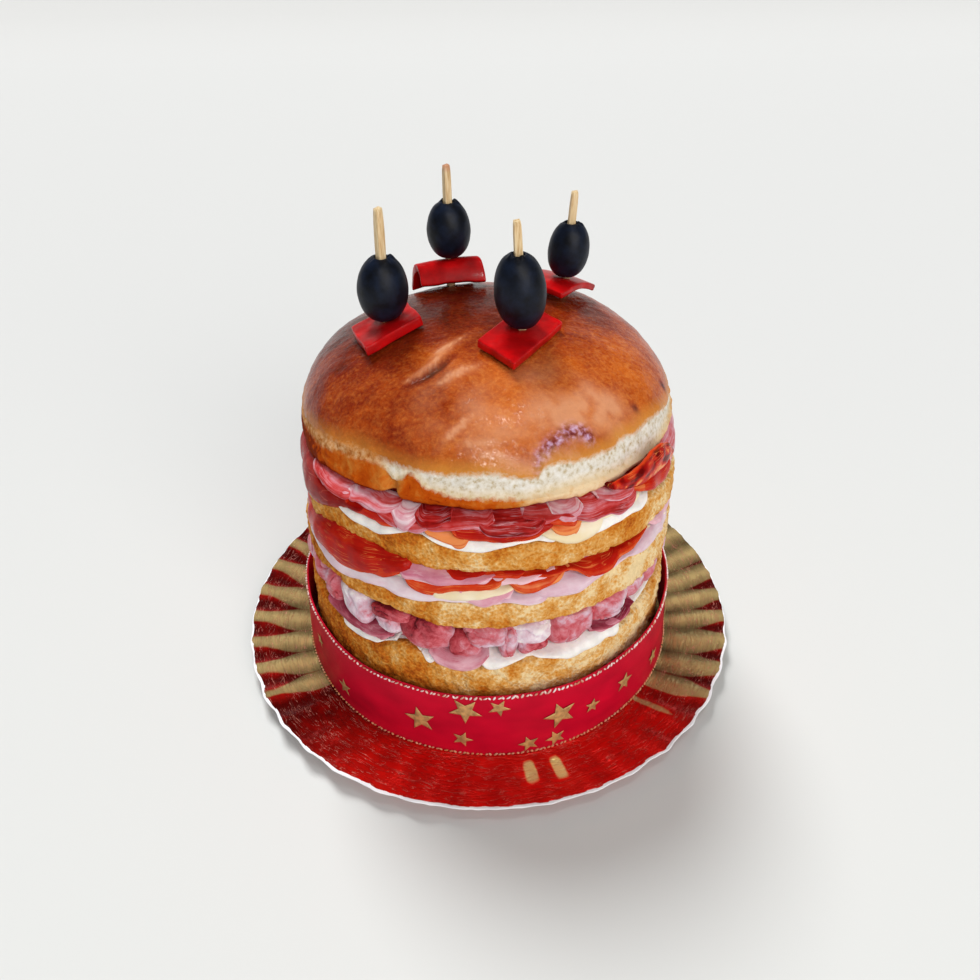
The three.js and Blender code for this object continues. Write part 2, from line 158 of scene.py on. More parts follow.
def place_in_mesh(piece):
    """Moves the object's place into its mesh, so that the object sits at the origin."""
    pick_only(piece)
    bpy.ops.object.transform_apply(location=True, rotation=True, scale=True)


def pulled(name, sides, rings, levels=0):
    """A round piece pulled up ring by ring, smoothed, and closed at its ends. Each ring is a radius and a height in mm."""
    radius, height = rings[0]
    piece = begin(name, "circle", vertices=sides, radius=radius * MM, fill_type="NOTHING", location=(0, 0, (height + CARD) * MM))
    place_in_mesh(piece)
    bpy.ops.object.mode_set(mode="EDIT")
    bpy.ops.mesh.select_all(action="SELECT")
    for (r0, z0), (r1, z1) in zip(rings, rings[1:]):
        bpy.ops.mesh.extrude_region_move(TRANSFORM_OT_translate={"value": (0, 0, (z1 - z0) * MM)})
        bpy.ops.transform.resize(
            value=(r1 / r0, r1 / r0, 1), center_override=(0, 0, (z1 + CARD) * MM)
        )
    bpy.ops.mesh.select_all(action="SELECT")
    bpy.ops.mesh.remove_doubles(threshold=0.00001)
    bpy.ops.mesh.normals_make_consistent(inside=False)
    bpy.ops.object.mode_set(mode="OBJECT")
    if levels:
        subdivided(piece, levels)
    return piece


def capped(piece):
    """Closes a pulled piece's open ends."""
    pick_only(piece)
    bpy.ops.object.mode_set(mode="EDIT")
    bpy.ops.mesh.select_all(action="SELECT")
    bpy.ops.mesh.fill_holes(sides=0)
    bpy.ops.mesh.normals_make_consistent(inside=False)
    bpy.ops.object.mode_set(mode="OBJECT")


def modified(piece, kind, **settings):
    """Adds a modifier and applies it."""
    pick_only(piece)
    bpy.ops.object.modifier_add(type=kind)
    modifier = piece.modifiers[-1]
    for key, value in settings.items():
        setattr(modifier, key, value)
    bpy.ops.object.modifier_apply(modifier=modifier.name)


def subdivided(piece, levels):
    modified(piece, "SUBSURF", levels=levels, render_levels=levels)


def points_of(piece):
    """The piece's points in mm over the plate's well."""
    flat = np.empty(len(piece.data.vertices) * 3)
    piece.data.vertices.foreach_get("co", flat)
    points = flat.reshape(-1, 3) / MM
    points[:, 2] -= CARD
    return points


def normals_of(piece):
    flat = np.empty(len(piece.data.vertices) * 3)
    piece.data.vertices.foreach_get("normal", flat)
    return flat.reshape(-1, 3)


def move_points(piece, points):
    """Writes points of points_of back."""
    points = points.copy()
    points[:, 2] += CARD
    piece.data.vertices.foreach_set("co", (points * MM).ravel())
    piece.data.update()


def note(piece, name, values):
    """Keeps a value or a vector for each point, for the piece's material."""
    values = np.asarray(values, dtype=float)
    kind, key = ("FLOAT", "value") if values.ndim == 1 else ("FLOAT_VECTOR", "vector")
    attribute = piece.data.attributes.new(name, kind, "POINT")
    attribute.data.foreach_set(key, values.ravel())


def joined(pieces, name):
    deselect()
    for piece in pieces:
        piece.select_set(True)
    bpy.context.view_layer.objects.active = pieces[0]
    bpy.ops.object.join()
    pieces[0].name = pieces[0].data.name = name
    return pieces[0]


def copied(piece, name):
    """A copy with its own mesh."""
    twin = piece.copy()
    twin.data = piece.data.copy()
    twin.name = twin.data.name = name
    bpy.context.scene.collection.objects.link(twin)
    return twin


def finished(piece, material, slot, *nodes):
    """Smooths and paints a piece, puts it under the root body, and hides the parts that it stands for."""
    pick_only(piece)
    bpy.ops.object.shade_smooth()
    piece.data.materials.clear()
    piece.data.materials.append(material)
    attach(piece, "root")
    if nodes:
        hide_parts(*nodes)
    return piece


# Materials


def add(tree, kind, sockets=None, stops=None, **settings):
    """Adds a node with its settings, its colour stops, and its sockets, each a value or what feeds it."""
    node = tree.nodes.new("ShaderNode" + kind)
    for key, value in settings.items():
        setattr(node, key, value)
    if stops:
        elements = node.color_ramp.elements
        elements[0].position, elements[1].position = stops[0][0], stops[-1][0]
        for place, _ in stops[1:-1]:
            elements.new(place)
        for element, (_, colour) in zip(elements, stops):
            element.color = paint(colour)
    for key, value in (sockets or {}).items():
        socket = node.inputs[key] if isinstance(key, int) else next(s for s in node.inputs if s.enabled and s.name == key)
        if isinstance(value, bpy.types.Node):
            value = next(output for output in value.outputs if output.enabled)
        if isinstance(value, bpy.types.NodeSocket):
            tree.links.new(value, socket)
        else:
            socket.default_value = value
    return node


def new_material(name):
    material = bpy.data.materials.new(name)
    material.use_nodes = True
    material.node_tree.nodes.clear()
    return material, material.node_tree


def per(size):
    """The scale of a pattern on Object coordinates whose parts are that many mm wide."""
    return 1 / (size * MM)


def glazed_crust(colours):
    """Egg-glazed yeast crust: reddish brown, speckled, glossy, and pale crumb where it tore in the oven."""
    material, tree = new_material("egg_glazed_crust")
    place = add(tree, "TexCoord").outputs["Object"]
    above_cap = add(tree, "Attribute", attribute_name="above_cap").outputs["Fac"]
    above_ring = add(tree, "Attribute", attribute_name="above_ring").outputs["Fac"]
    tints = add(tree, "SeparateXYZ", {0: add(tree, "Attribute", attribute_name="tint").outputs["Vector"]})
    places = add(tree, "SeparateXYZ", {0: add(tree, "Attribute", attribute_name="torn").outputs["Vector"]})
    # Blotches of the bake, and the glaze's fine speckles
    cloud = add(tree, "TexNoise", {"Vector": place, "Scale": per(13), "Detail": 4.0, "Roughness": 0.55, "Distortion": 0.6})
    speck = add(tree, "TexNoise", {"Vector": place, "Scale": per(1.0), "Detail": 2.0, "Roughness": 0.6})
    mixed = add(tree, "Math", {0: cloud, 1: 0.44, 2: 0.1}, operation="MULTIPLY_ADD")
    mixed = add(tree, "Math", {0: speck, 1: 0.24, 2: mixed}, operation="MULTIPLY_ADD")
    # The tint's first part makes the crust darker or lighter by place, and holds painted shade down the crease
    mixed = add(tree, "Math", {0: mixed, 1: tints.outputs["X"]}, operation="ADD")
    crust = add(
        tree,
        "ValToRGB",
        {"Fac": mixed},
        stops=[(0.2, "#430c02"), (0.38, "#7a2206"), (0.52, "#a2410c"), (0.66, "#c05e18"), (0.86, "#e0a050")],
    )
    flecks = add(tree, "TexNoise", {"Vector": place, "Scale": per(2.0), "Detail": 5.0, "Roughness": 0.75, "Distortion": 0.8})
    thin = add(tree, "MapRange", {"Value": mixed, "From Min": 0.34, "From Max": 0.6, "To Min": 0.06, "To Max": 0.46}, clamp=True)
    flecks = add(tree, "MapRange", {"Value": flecks, "From Min": 0.44, "From Max": 0.72, "To Max": thin}, clamp=True)
    crust = add(tree, "Mix", {"Factor": flecks, "A": crust, "B": paint("#dc8c44")}, data_type="RGBA")
    # Salmon where the glaze is thin, plus painted highlights (glints and pale streaks of light on the glaze) in the
    # same tint; lilac grey in the scar
    crust = add(tree, "Mix", {"Factor": tints.outputs["Y"], "A": crust, "B": paint("#d89a72")}, data_type="RGBA")
    scar_grain = add(tree, "TexNoise", {"Vector": place, "Scale": per(1.6), "Detail": 3.0})
    scar = add(tree, "ValToRGB", {"Fac": scar_grain}, stops=[(0.36, "#6a2028"), (0.46, "#94504c"), (0.56, "#b0809a"), (0.7, "#d0b0cc")])
    crust = add(tree, "Mix", {"Factor": tints.outputs["Z"], "A": crust, "B": scar}, data_type="RGBA")
    # Pale crumb with pores in the torn band, creamier towards the ring
    pores = add(tree, "TexVoronoi", {"Vector": place, "Scale": per(1.5), "Randomness": 1.0})
    crumb_grain = add(tree, "TexNoise", {"Vector": place, "Scale": per(1.8), "Detail": 4.0, "Roughness": 0.65})
    crumb_mix = add(tree, "Math", {0: pores, 1: 0.24, 2: crumb_grain}, operation="MULTIPLY_ADD")
    crumb = add(
        tree,
        "ValToRGB",
        {"Fac": crumb_mix},
        stops=[(0.32, "#8a7a5e"), (0.45, "#c0ae8e"), (0.58, "#dad2c2"), (0.8, "#eae6de")],
    )
    cream = add(tree, "MapRange", {"Value": above_ring, "From Min": 3.6, "From Max": 0.0, "To Max": 0.7}, clamp=True)
    crumb = add(tree, "Mix", {"Factor": cream, "A": crumb, "B": paint("#e2c696")}, data_type="RGBA")
    # At the left the tear is only a thin golden smear
    smear = add(tree, "ValToRGB", {"Fac": crumb_grain}, stops=[(0.35, "#a8602a"), (0.5, "#c88c54"), (0.68, "#dcb084")])
    crumb = add(tree, "Mix", {"Factor": places.outputs["X"], "A": crumb, "B": smear}, data_type="RGBA")
    # Toasted ring under it, deep orange at the left and pale at the right
    toast = add(tree, "Attribute", attribute_name="toast").outputs["Fac"]
    ring_grain = add(tree, "TexNoise", {"Vector": place, "Scale": per(4.5), "Detail": 6.0, "Roughness": 0.68, "Distortion": 0.5})
    ring_mix = add(tree, "Math", {0: ring_grain, 1: 0.75, 2: toast}, operation="MULTIPLY_ADD")
    ring = add(
        tree,
        "ValToRGB",
        {"Fac": ring_mix},
        stops=[(0.3, "#ead0a8"), (0.5, "#dcae76"), (0.68, "#cc8034"), (0.86, "#c0560e"), (1.05, "#ac4006"), (1.3, "#842c06")],
    )
    # The borders are ragged
    rag = add(tree, "TexNoise", {"Vector": place, "Scale": per(2.0), "Detail": 5.0, "Roughness": 0.7})
    rag = add(tree, "Math", {0: rag, 1: 3.6, 2: -1.8}, operation="MULTIPLY_ADD")
    cap_side = add(tree, "Math", {0: above_cap, 1: rag}, operation="ADD")
    cap_share = add(tree, "MapRange", {"Value": cap_side, "From Min": -0.9, "From Max": 0.9}, clamp=True)
    ring_side = add(tree, "Math", {0: above_ring, 1: rag}, operation="ADD")
    ring_share = add(tree, "MapRange", {"Value": ring_side, "From Min": 0.7, "From Max": -0.7}, clamp=True)
    # The glaze turns gold just above the tear
    gold = add(tree, "MapRange", {"Value": cap_side, "From Min": 4.6, "From Max": 0.0, "To Max": 0.8}, clamp=True)
    gold = add(tree, "Math", {0: gold, 1: places.outputs["Y"]}, operation="MULTIPLY")
    crust = add(tree, "Mix", {"Factor": gold, "A": crust, "B": paint("#d8963e")}, data_type="RGBA")
    skin = add(tree, "Mix", {"Factor": cap_share, "A": crumb, "B": crust}, data_type="RGBA")
    skin = add(tree, "Mix", {"Factor": ring_share, "A": skin, "B": ring}, data_type="RGBA")
    rough = add(tree, "MapRange", {"Value": cap_share, "To Min": 0.85, "To Max": 0.5})
    glaze = add(tree, "MapRange", {"Value": cap_side, "From Min": -0.2, "From Max": 1.2, "To Max": 0.52}, clamp=True)
    relief = add(tree, "TexNoise", {"Vector": place, "Scale": per(1.5), "Detail": 3.0, "Roughness": 0.6})
    bump = add(tree, "Bump", {"Height": relief, "Strength": 0.5, "Distance": 0.45 * MM})
    bump = add(tree, "Bump", {"Height": crumb_mix, "Strength": 0.45, "Distance": 0.5 * MM, "Normal": bump})
    ripple = add(tree, "TexNoise", {"Vector": place, "Scale": per(1.9), "Detail": 3.0, "Roughness": 0.6, "Distortion": 0.6})
    gleam = add(tree, "Bump", {"Height": ripple, "Strength": 0.42, "Distance": 0.5 * MM})
    surface = add(
        tree,
        "BsdfPrincipled",
        {
            "Base Color": skin,
            "Roughness": rough,
            "IOR": 1.4,
            "Specular IOR Level": 0.05,
            "Coat Weight": glaze,
            "Coat Roughness": 0.11,
            "Coat IOR": 1.42,
            "Normal": bump,
            "Coat Normal": gleam,
        },
    )
    add(tree, "OutputMaterial", {"Surface": surface})
    return material


def toasted_bread(colours):
    """Toasted cut side of the loaf: dry, golden tan and coarse as a sponge, with browner patches."""
    material, tree = new_material("toasted_bread")
    place = add(tree, "TexCoord").outputs["Object"]
    toast = add(tree, "Attribute", attribute_name="toast").outputs["Fac"]
    grain = add(tree, "TexNoise", {"Vector": place, "Scale": per(0.9), "Detail": 3.0, "Roughness": 0.7})
    patch = add(tree, "TexNoise", {"Vector": place, "Scale": per(9), "Detail": 3.0, "Roughness": 0.55, "Distortion": 0.4})
    pores = add(tree, "TexVoronoi", {"Vector": place, "Scale": per(1.3)})
    mixed = add(tree, "Math", {0: patch, 1: 0.75, 2: toast}, operation="MULTIPLY_ADD")
    mixed = add(tree, "Math", {0: grain, 1: 0.48, 2: mixed}, operation="MULTIPLY_ADD")
    mixed = add(tree, "Math", {0: pores, 1: -0.2, 2: mixed}, operation="MULTIPLY_ADD")
    colour = add(
        tree,
        "ValToRGB",
        {"Fac": mixed},
        stops=[
            (0.2, "#f0d6a4"),
            (0.34, "#e0aa60"),
            (0.48, "#d08832"),
            (0.6, "#c06a1a"),
            (0.74, "#a0480e"),
            (0.9, "#782c08"),
            (1.08, "#541a06"),
        ],
    )
    height = add(tree, "Math", {0: grain, 1: pores}, operation="ADD")
    bump = add(tree, "Bump", {"Height": height, "Strength": 0.7, "Distance": 0.6 * MM})
    surface = add(
        tree,
        "BsdfPrincipled",
        {"Base Color": colour, "Roughness": 0.85, "IOR": 1.4, "Specular IOR Level": 0.12, "Normal": bump},
    )
    add(tree, "OutputMaterial", {"Surface": surface})
    return material


def meat(name, stops, fat, veins, gloss=0.5, along=0.05, across=0.12, width=0.035, contrast=0.9, rim=None, wet=0.15):
    """Sliced meat: moist, a little translucent, in soft bands along the slice, with thin veins of fat.

    along and across are bands for each mm, width is how wide the veins are, rim colours the slice's outer edge and
    says how wide and how strong it is, and wet is how much it gleams."""
    material, tree = new_material(name)
    place = add(tree, "TexCoord").outputs["Object"]
    lay = add(tree, "Attribute", attribute_name="lay").outputs["Vector"]
    tone = add(tree, "Attribute", attribute_name="tone").outputs["Fac"]
    banded = add(tree, "Mapping", {"Vector": lay, "Scale": (along, across, 1.0)})
    body = add(tree, "TexNoise", {"Vector": banded, "Scale": 1.0, "Detail": 3.0, "Roughness": 0.55, "Distortion": 0.9})
    cloud = add(tree, "TexNoise", {"Vector": place, "Scale": per(5), "Detail": 4.0, "Roughness": 0.6})
    shade = add(tree, "Math", {0: body, 1: contrast, 2: -contrast / 2}, operation="MULTIPLY_ADD")
    shade = add(tree, "Math", {0: cloud, 1: contrast * 0.6, 2: shade}, operation="MULTIPLY_ADD")
    shade = add(tree, "Math", {0: shade, 1: 0.5 - contrast * 0.3}, operation="ADD")
    shade = add(tree, "Math", {0: shade, 1: tone}, operation="ADD")
    colour = add(tree, "ValToRGB", {"Fac": shade}, stops=stops)
    vein = add(tree, "Mapping", {"Vector": lay, "Scale": (along * 1.6, across * 1.5, 1.0), "Location": (3.1, 1.7, 0.0)})
    vein = add(tree, "TexNoise", {"Vector": vein, "Scale": 1.0, "Detail": 2.0, "Roughness": 0.5, "Distortion": 1.2})
    off = add(tree, "Math", {0: vein, 1: 0.5}, operation="SUBTRACT")
    off = add(tree, "Math", {0: off}, operation="ABSOLUTE")
    line = add(tree, "MapRange", {"Value": off, "From Min": width, "From Max": 0.0, "To Max": veins}, clamp=True)
    breaks = add(tree, "TexNoise", {"Vector": place, "Scale": per(6), "Detail": 1.0})
    breaks = add(tree, "MapRange", {"Value": breaks, "From Min": 0.42, "From Max": 0.58}, clamp=True)
    line = add(tree, "Math", {0: line, 1: breaks}, operation="MULTIPLY")
    colour = add(tree, "Mix", {"Factor": line, "A": colour, "B": paint(fat)}, data_type="RGBA")
    if rim:
        rim_colour, wide, amount = rim
        edge = add(tree, "SeparateXYZ", {0: lay})
        ragged = add(tree, "Math", {0: cloud, 1: -wide * 2, 2: edge.outputs["Y"]}, operation="MULTIPLY_ADD")
        edge = add(
            tree,
            "MapRange",
            {"Value": ragged, "From Min": 0.0, "From Max": -wide, "To Max": amount},
            clamp=True,
        )
        colour = add(tree, "Mix", {"Factor": edge, "A": colour, "B": paint(rim_colour)}, data_type="RGBA")
    wrinkle = add(tree, "TexNoise", {"Vector": place, "Scale": per(2.2), "Detail": 3.0, "Roughness": 0.55})
    bump = add(tree, "Bump", {"Height": wrinkle, "Strength": 0.22, "Distance": 0.5 * MM})
    surface = add(
        tree,
        "BsdfPrincipled",
        {
            "Base Color": colour,
            "Roughness": gloss,
            "IOR": 1.4,
            "Specular IOR Level": 0.06,
            "Subsurface Weight": 0.05,
            "Subsurface Radius": (1.0, 0.35, 0.25),
            "Subsurface Scale": 1.0 * MM,
            "Coat Weight": wet,
            "Coat Roughness": 0.12,
            "Coat IOR": 1.45,
            "Normal": bump,
        },
    )
    add(tree, "OutputMaterial", {"Surface": surface})
    return material


def creamy(name, stops, gloss, lumps, depth):
    """Cheese or spread: pale, dense and softly lit through."""
    material, tree = new_material(name)
    place = add(tree, "TexCoord").outputs["Object"]
    cloud = add(tree, "TexNoise", {"Vector": place, "Scale": per(lumps), "Detail": 3.0, "Roughness": 0.5})
    colour = add(tree, "ValToRGB", {"Fac": cloud}, stops=stops)
    fine = add(tree, "TexNoise", {"Vector": place, "Scale": per(lumps / 4), "Detail": 3.0})
    bump = add(tree, "Bump", {"Height": fine, "Strength": 0.3, "Distance": depth * MM})
    surface = add(
        tree,
        "BsdfPrincipled",
        {
            "Base Color": colour,
            "Roughness": gloss,
            "IOR": 1.42,
            "Specular IOR Level": 0.2,
            "Subsurface Weight": 0.15,
            "Subsurface Radius": (1.0, 0.8, 0.5),
            "Subsurface Scale": 1.5 * MM,
            "Normal": bump,
        },
    )
    add(tree, "OutputMaterial", {"Surface": surface})
    return material


def heap_meat(colours):
    """Boiled meat torn in chunks: rose lean that runs into lilac-white fat, moist."""
    material, tree = new_material("torn_cooked_meat")
    place = add(tree, "TexCoord").outputs["Object"]
    fold = add(tree, "Attribute", attribute_name="fold").outputs["Fac"]
    pale = add(tree, "Attribute", attribute_name="pale").outputs["Fac"]
    cloud = add(tree, "TexNoise", {"Vector": place, "Scale": per(6), "Detail": 4.0, "Roughness": 0.55, "Distortion": 0.8})
    streak = add(tree, "TexNoise", {"Vector": place, "Scale": per(3.2), "Detail": 4.0, "Roughness": 0.6, "Distortion": 2.4})
    shade = add(tree, "Math", {0: cloud, 1: 0.9, 2: -0.4}, operation="MULTIPLY_ADD")
    shade = add(tree, "Math", {0: streak, 1: 0.5, 2: shade}, operation="MULTIPLY_ADD")
    shade = add(tree, "Math", {0: shade, 1: -0.25}, operation="ADD")
    shade = add(tree, "Math", {0: shade, 1: pale}, operation="ADD")
    # The fold value darkens the clefts, which is painted shade
    shade = add(tree, "Math", {0: fold, 1: 0.1, 2: shade}, operation="MULTIPLY_ADD")
    colour = add(
        tree,
        "ValToRGB",
        {"Fac": shade},
        stops=[(0.0, "#6c1824"), (0.16, "#a8343e"), (0.34, "#c65a64"), (0.5, "#cf828e"), (0.66, "#d6b0c0"), (0.82, "#e0ccd8"), (1.0, "#f2ecec")],
    )
    bump = add(tree, "Bump", {"Height": cloud, "Strength": 0.3, "Distance": 0.6 * MM})
    surface = add(
        tree,
        "BsdfPrincipled",
        {
            "Base Color": colour,
            "Roughness": 0.45,
            "IOR": 1.4,
            "Specular IOR Level": 0.08,
            "Subsurface Weight": 0.08,
            "Subsurface Radius": (1.0, 0.4, 0.35),
            "Subsurface Scale": 1.0 * MM,
            "Coat Weight": 0.22,
            "Coat Roughness": 0.12,
            "Normal": bump,
        },
    )
    add(tree, "OutputMaterial", {"Surface": surface})
    return material


def foil_card(colours):
    """Metallised foil on card: dark red and olive gold in turn, finely crinkled, white where it is cut, with painted
    highlights, painted shade and painted glints.
    """
    material, tree = new_material("metallised_foil")
    place = add(tree, "TexCoord").outputs["Object"]
    gold = add(tree, "Attribute", attribute_name="gold").outputs["Fac"]
    cut = add(tree, "Attribute", attribute_name="cut").outputs["Fac"]
    painted_light_level = add(tree, "Attribute", attribute_name="painted_light_level").outputs["Fac"]
    ring = add(tree, "Attribute", attribute_name="ring").outputs["Vector"]
    # The tone takes the plate's painted light: painted highlights, painted shade and the painted glints
    tone = add(tree, "TexNoise", {"Vector": place, "Scale": per(7), "Detail": 4.0, "Roughness": 0.6})
    tone = add(tree, "Math", {0: tone, 1: 0.5, 2: painted_light_level}, operation="MULTIPLY_ADD")
    tone = add(tree, "Math", {0: tone, 1: 0.25}, operation="ADD")
    red = add(tree, "ValToRGB", {"Fac": tone}, stops=[(0.3, toned(colours.foil, 0.28)), (0.55, colours.foil), (0.8, toned(colours.foil, 1.9)), (1.1, toned(colours.foil, 2.6))])
    yellow = add(tree, "ValToRGB", {"Fac": tone}, stops=[(0.3, toned(colours.gilt, 0.42)), (0.6, colours.gilt), (0.9, toned(colours.gilt, 1.8)), (1.5, toned(colours.gilt, 2.8))])
    ragged = add(tree, "TexNoise", {"Vector": place, "Scale": per(3), "Detail": 3.0})
    ragged = add(tree, "Math", {0: ragged, 1: 0.5, 2: -0.25}, operation="MULTIPLY_ADD")
    share = add(tree, "Math", {0: gold, 1: ragged}, operation="ADD")
    share = add(tree, "MapRange", {"Value": share, "From Min": 0.2, "From Max": 0.8}, clamp=True)
    colour = add(tree, "Mix", {"Factor": share, "A": red, "B": yellow}, data_type="RGBA")
    # Crinkles run round the rim as thin pale dashes
    crinkle = add(tree, "Mapping", {"Vector": ring, "Scale": (0.1, 0.62, 1.0)})
    crinkle = add(tree, "TexNoise", {"Vector": crinkle, "Scale": 1.0, "Detail": 3.0, "Roughness": 0.6, "Distortion": 0.7})
    off = add(tree, "Math", {0: crinkle, 1: 0.5}, operation="SUBTRACT")
    off = add(tree, "Math", {0: off}, operation="ABSOLUTE")
    dash = add(tree, "MapRange", {"Value": off, "From Min": 0.015, "From Max": 0.0, "To Max": 0.75}, clamp=True)
    breaks = add(tree, "TexNoise", {"Vector": place, "Scale": per(4), "Detail": 2.0})
    breaks = add(tree, "MapRange", {"Value": breaks, "From Min": 0.44, "From Max": 0.54}, clamp=True)
    dash = add(tree, "Math", {0: dash, 1: breaks}, operation="MULTIPLY")
    colour = add(tree, "Mix", {"Factor": dash, "A": colour, "B": paint("#e89484")}, data_type="RGBA")
    sharp = add(tree, "MapRange", {"Value": off, "From Min": 0.0, "From Max": 0.06}, clamp=True)
    bump = add(tree, "Bump", {"Height": sharp, "Strength": 0.6, "Distance": 0.4 * MM})
    foil = add(
        tree,
        "BsdfPrincipled",
        {"Base Color": colour, "Metallic": 0.5, "Roughness": 0.26, "Specular IOR Level": 0.2, "Normal": bump},
    )
    card = add(tree, "BsdfPrincipled", {"Base Color": paint("#eeeef2"), "Roughness": 0.8, "Specular IOR Level": 0.2})
    edge = add(tree, "MapRange", {"Value": cut, "From Min": 0.4, "From Max": 0.6}, clamp=True)
    surface = add(tree, "MixShader", {0: edge, 1: foil, 2: card})
    add(tree, "OutputMaterial", {"Surface": surface})
    return material


def satin(colours):
    """Woven polyester satin: a saturated red with a soft band of light across the weave."""
    material, tree = new_material("polyester_satin")
    wrap = add(tree, "Attribute", attribute_name="wrap").outputs["Vector"]
    fine = add(tree, "Mapping", {"Vector": wrap, "Scale": (1.6, 9.0, 1.0)})
    weave = add(tree, "TexNoise", {"Vector": fine, "Scale": 1.0, "Detail": 2.0})
    cloud = add(tree, "Mapping", {"Vector": wrap, "Scale": (0.05, 0.1, 1.0)})
    cloud = add(tree, "TexNoise", {"Vector": cloud, "Scale": 1.0, "Detail": 2.0})
    mixed = add(tree, "Math", {0: weave, 1: 0.35, 2: cloud}, operation="MULTIPLY_ADD")
    colour = add(tree, "ValToRGB", {"Fac": mixed}, stops=[(0.4, toned(colours.ribbon, 0.74)), (0.65, colours.ribbon), (0.95, toned(colours.ribbon, 1.25))])
    bump = add(tree, "Bump", {"Height": weave, "Strength": 0.12, "Distance": 0.2 * MM})
    surface = add(
        tree,
        "BsdfPrincipled",
        {
            "Base Color": colour,
            "Roughness": 0.5,
            "Specular IOR Level": 0.12,
            "Anisotropic": 0.4,
            "Sheen Weight": 0.04,
            "Sheen Roughness": 0.4,
            "Sheen Tint": paint("#ff4058"),
            "Normal": bump,
        },
    )
    add(tree, "OutputMaterial", {"Surface": surface})
    return material


def gold_print(colours):
    """Metallic ink on the ribbon: matte gold, a little rubbed."""
    material, tree = new_material("gold_ink")
    place = add(tree, "TexCoord").outputs["Object"]
    rub = add(tree, "TexNoise", {"Vector": place, "Scale": per(2.4), "Detail": 4.0, "Roughness": 0.6})
    colour = add(tree, "ValToRGB", {"Fac": rub}, stops=[(0.35, toned(colours.stars, 0.58)), (0.55, colours.stars), (0.75, toned(colours.stars, 1.35))])
    bump = add(tree, "Bump", {"Height": rub, "Strength": 0.1, "Distance": 0.1 * MM})
    surface = add(
        tree,
        "BsdfPrincipled",
        {"Base Color": colour, "Metallic": 0.3, "Roughness": 0.5, "Normal": bump},
    )
    add(tree, "OutputMaterial", {"Surface": surface})
    return material


def overlock_thread(colours):
    """Metallic sewing thread over the ribbon's edges: white silver with a gold cast, sparkling."""
    material, tree = new_material("metallic_thread")
    place = add(tree, "TexCoord").outputs["Object"]
    cast = add(tree, "TexNoise", {"Vector": place, "Scale": per(5), "Detail": 2.0})
    colour = add(tree, "ValToRGB", {"Fac": cast}, stops=[(0.3, "#cc7c58"), (0.44, "#e6b8ac"), (0.62, "#f8eef0")])
    height = add(tree, "SeparateXYZ", {0: place}).outputs["Z"]
    low = add(tree, "MapRange", {"Value": height, "From Min": 24 * MM, "From Max": 20 * MM, "To Max": 0.85}, clamp=True)
    colour = add(tree, "Mix", {"Factor": low, "A": colour, "B": paint("#cc8450")}, data_type="RGBA")
    twist = add(tree, "TexNoise", {"Vector": place, "Scale": per(0.4), "Detail": 1.0})
    bump = add(tree, "Bump", {"Height": twist, "Strength": 0.5, "Distance": 0.2 * MM})
    surface = add(
        tree,
        "BsdfPrincipled",
        {"Base Color": colour, "Metallic": 0.1, "Roughness": 0.35, "Normal": bump},
    )
    add(tree, "OutputMaterial", {"Surface": surface})
    return material


def stick_wood(colours):
    """Split birch: pale, with fine grain along the stick and browner at its edges."""
    material, tree = new_material("birch_stick")
    place = add(tree, "TexCoord").outputs["Object"]
    tip = add(tree, "Attribute", attribute_name="tip").outputs["Fac"]
    long_grain = add(tree, "Mapping", {"Vector": place, "Scale": (1.0, 1.0, 0.06)})
    grain = add(tree, "TexNoise", {"Vector": long_grain, "Scale": per(0.5), "Detail": 4.0, "Roughness": 0.6})
    colour = add(tree, "ValToRGB", {"Fac": grain}, stops=[(0.3, "#b88c58"), (0.5, "#e2c696"), (0.75, "#f2e2c0")])
    stain = add(tree, "MapRange", {"Value": tip, "To Max": 0.6})
    colour = add(tree, "Mix", {"Factor": stain, "A": colour, "B": paint("#b4604a")}, data_type="RGBA")
    bump = add(tree, "Bump", {"Height": grain, "Strength": 0.3, "Distance": 0.15 * MM})
    surface = add(tree, "BsdfPrincipled", {"Base Color": colour, "Roughness": 0.65, "Normal": bump})
    add(tree, "OutputMaterial", {"Surface": surface})
    return material


def black_olive(colours):
    """Ripe olive in brine: blue-black skin, satin, with faint pits."""
    material, tree = new_material("black_olive_skin")
    place = add(tree, "TexCoord").outputs["Object"]
    tone = add(tree, "TexNoise", {"Vector": place, "Scale": per(4), "Detail": 3.0})
    colour = add(tree, "ValToRGB", {"Fac": tone}, stops=[(0.35, toned(colours.olive, 0.4)), (0.7, toned(colours.olive, 1.8))])
    pits = add(tree, "TexNoise", {"Vector": place, "Scale": per(1.1), "Detail": 3.0})
    bump = add(tree, "Bump", {"Height": pits, "Strength": 0.12, "Distance": 0.3 * MM})
    surface = add(
        tree,
        "BsdfPrincipled",
        {"Base Color": colour, "Roughness": 0.45, "IOR": 1.4, "Specular IOR Level": 0.28, "Normal": bump},
    )
    add(tree, "OutputMaterial", {"Surface": surface})
    return material


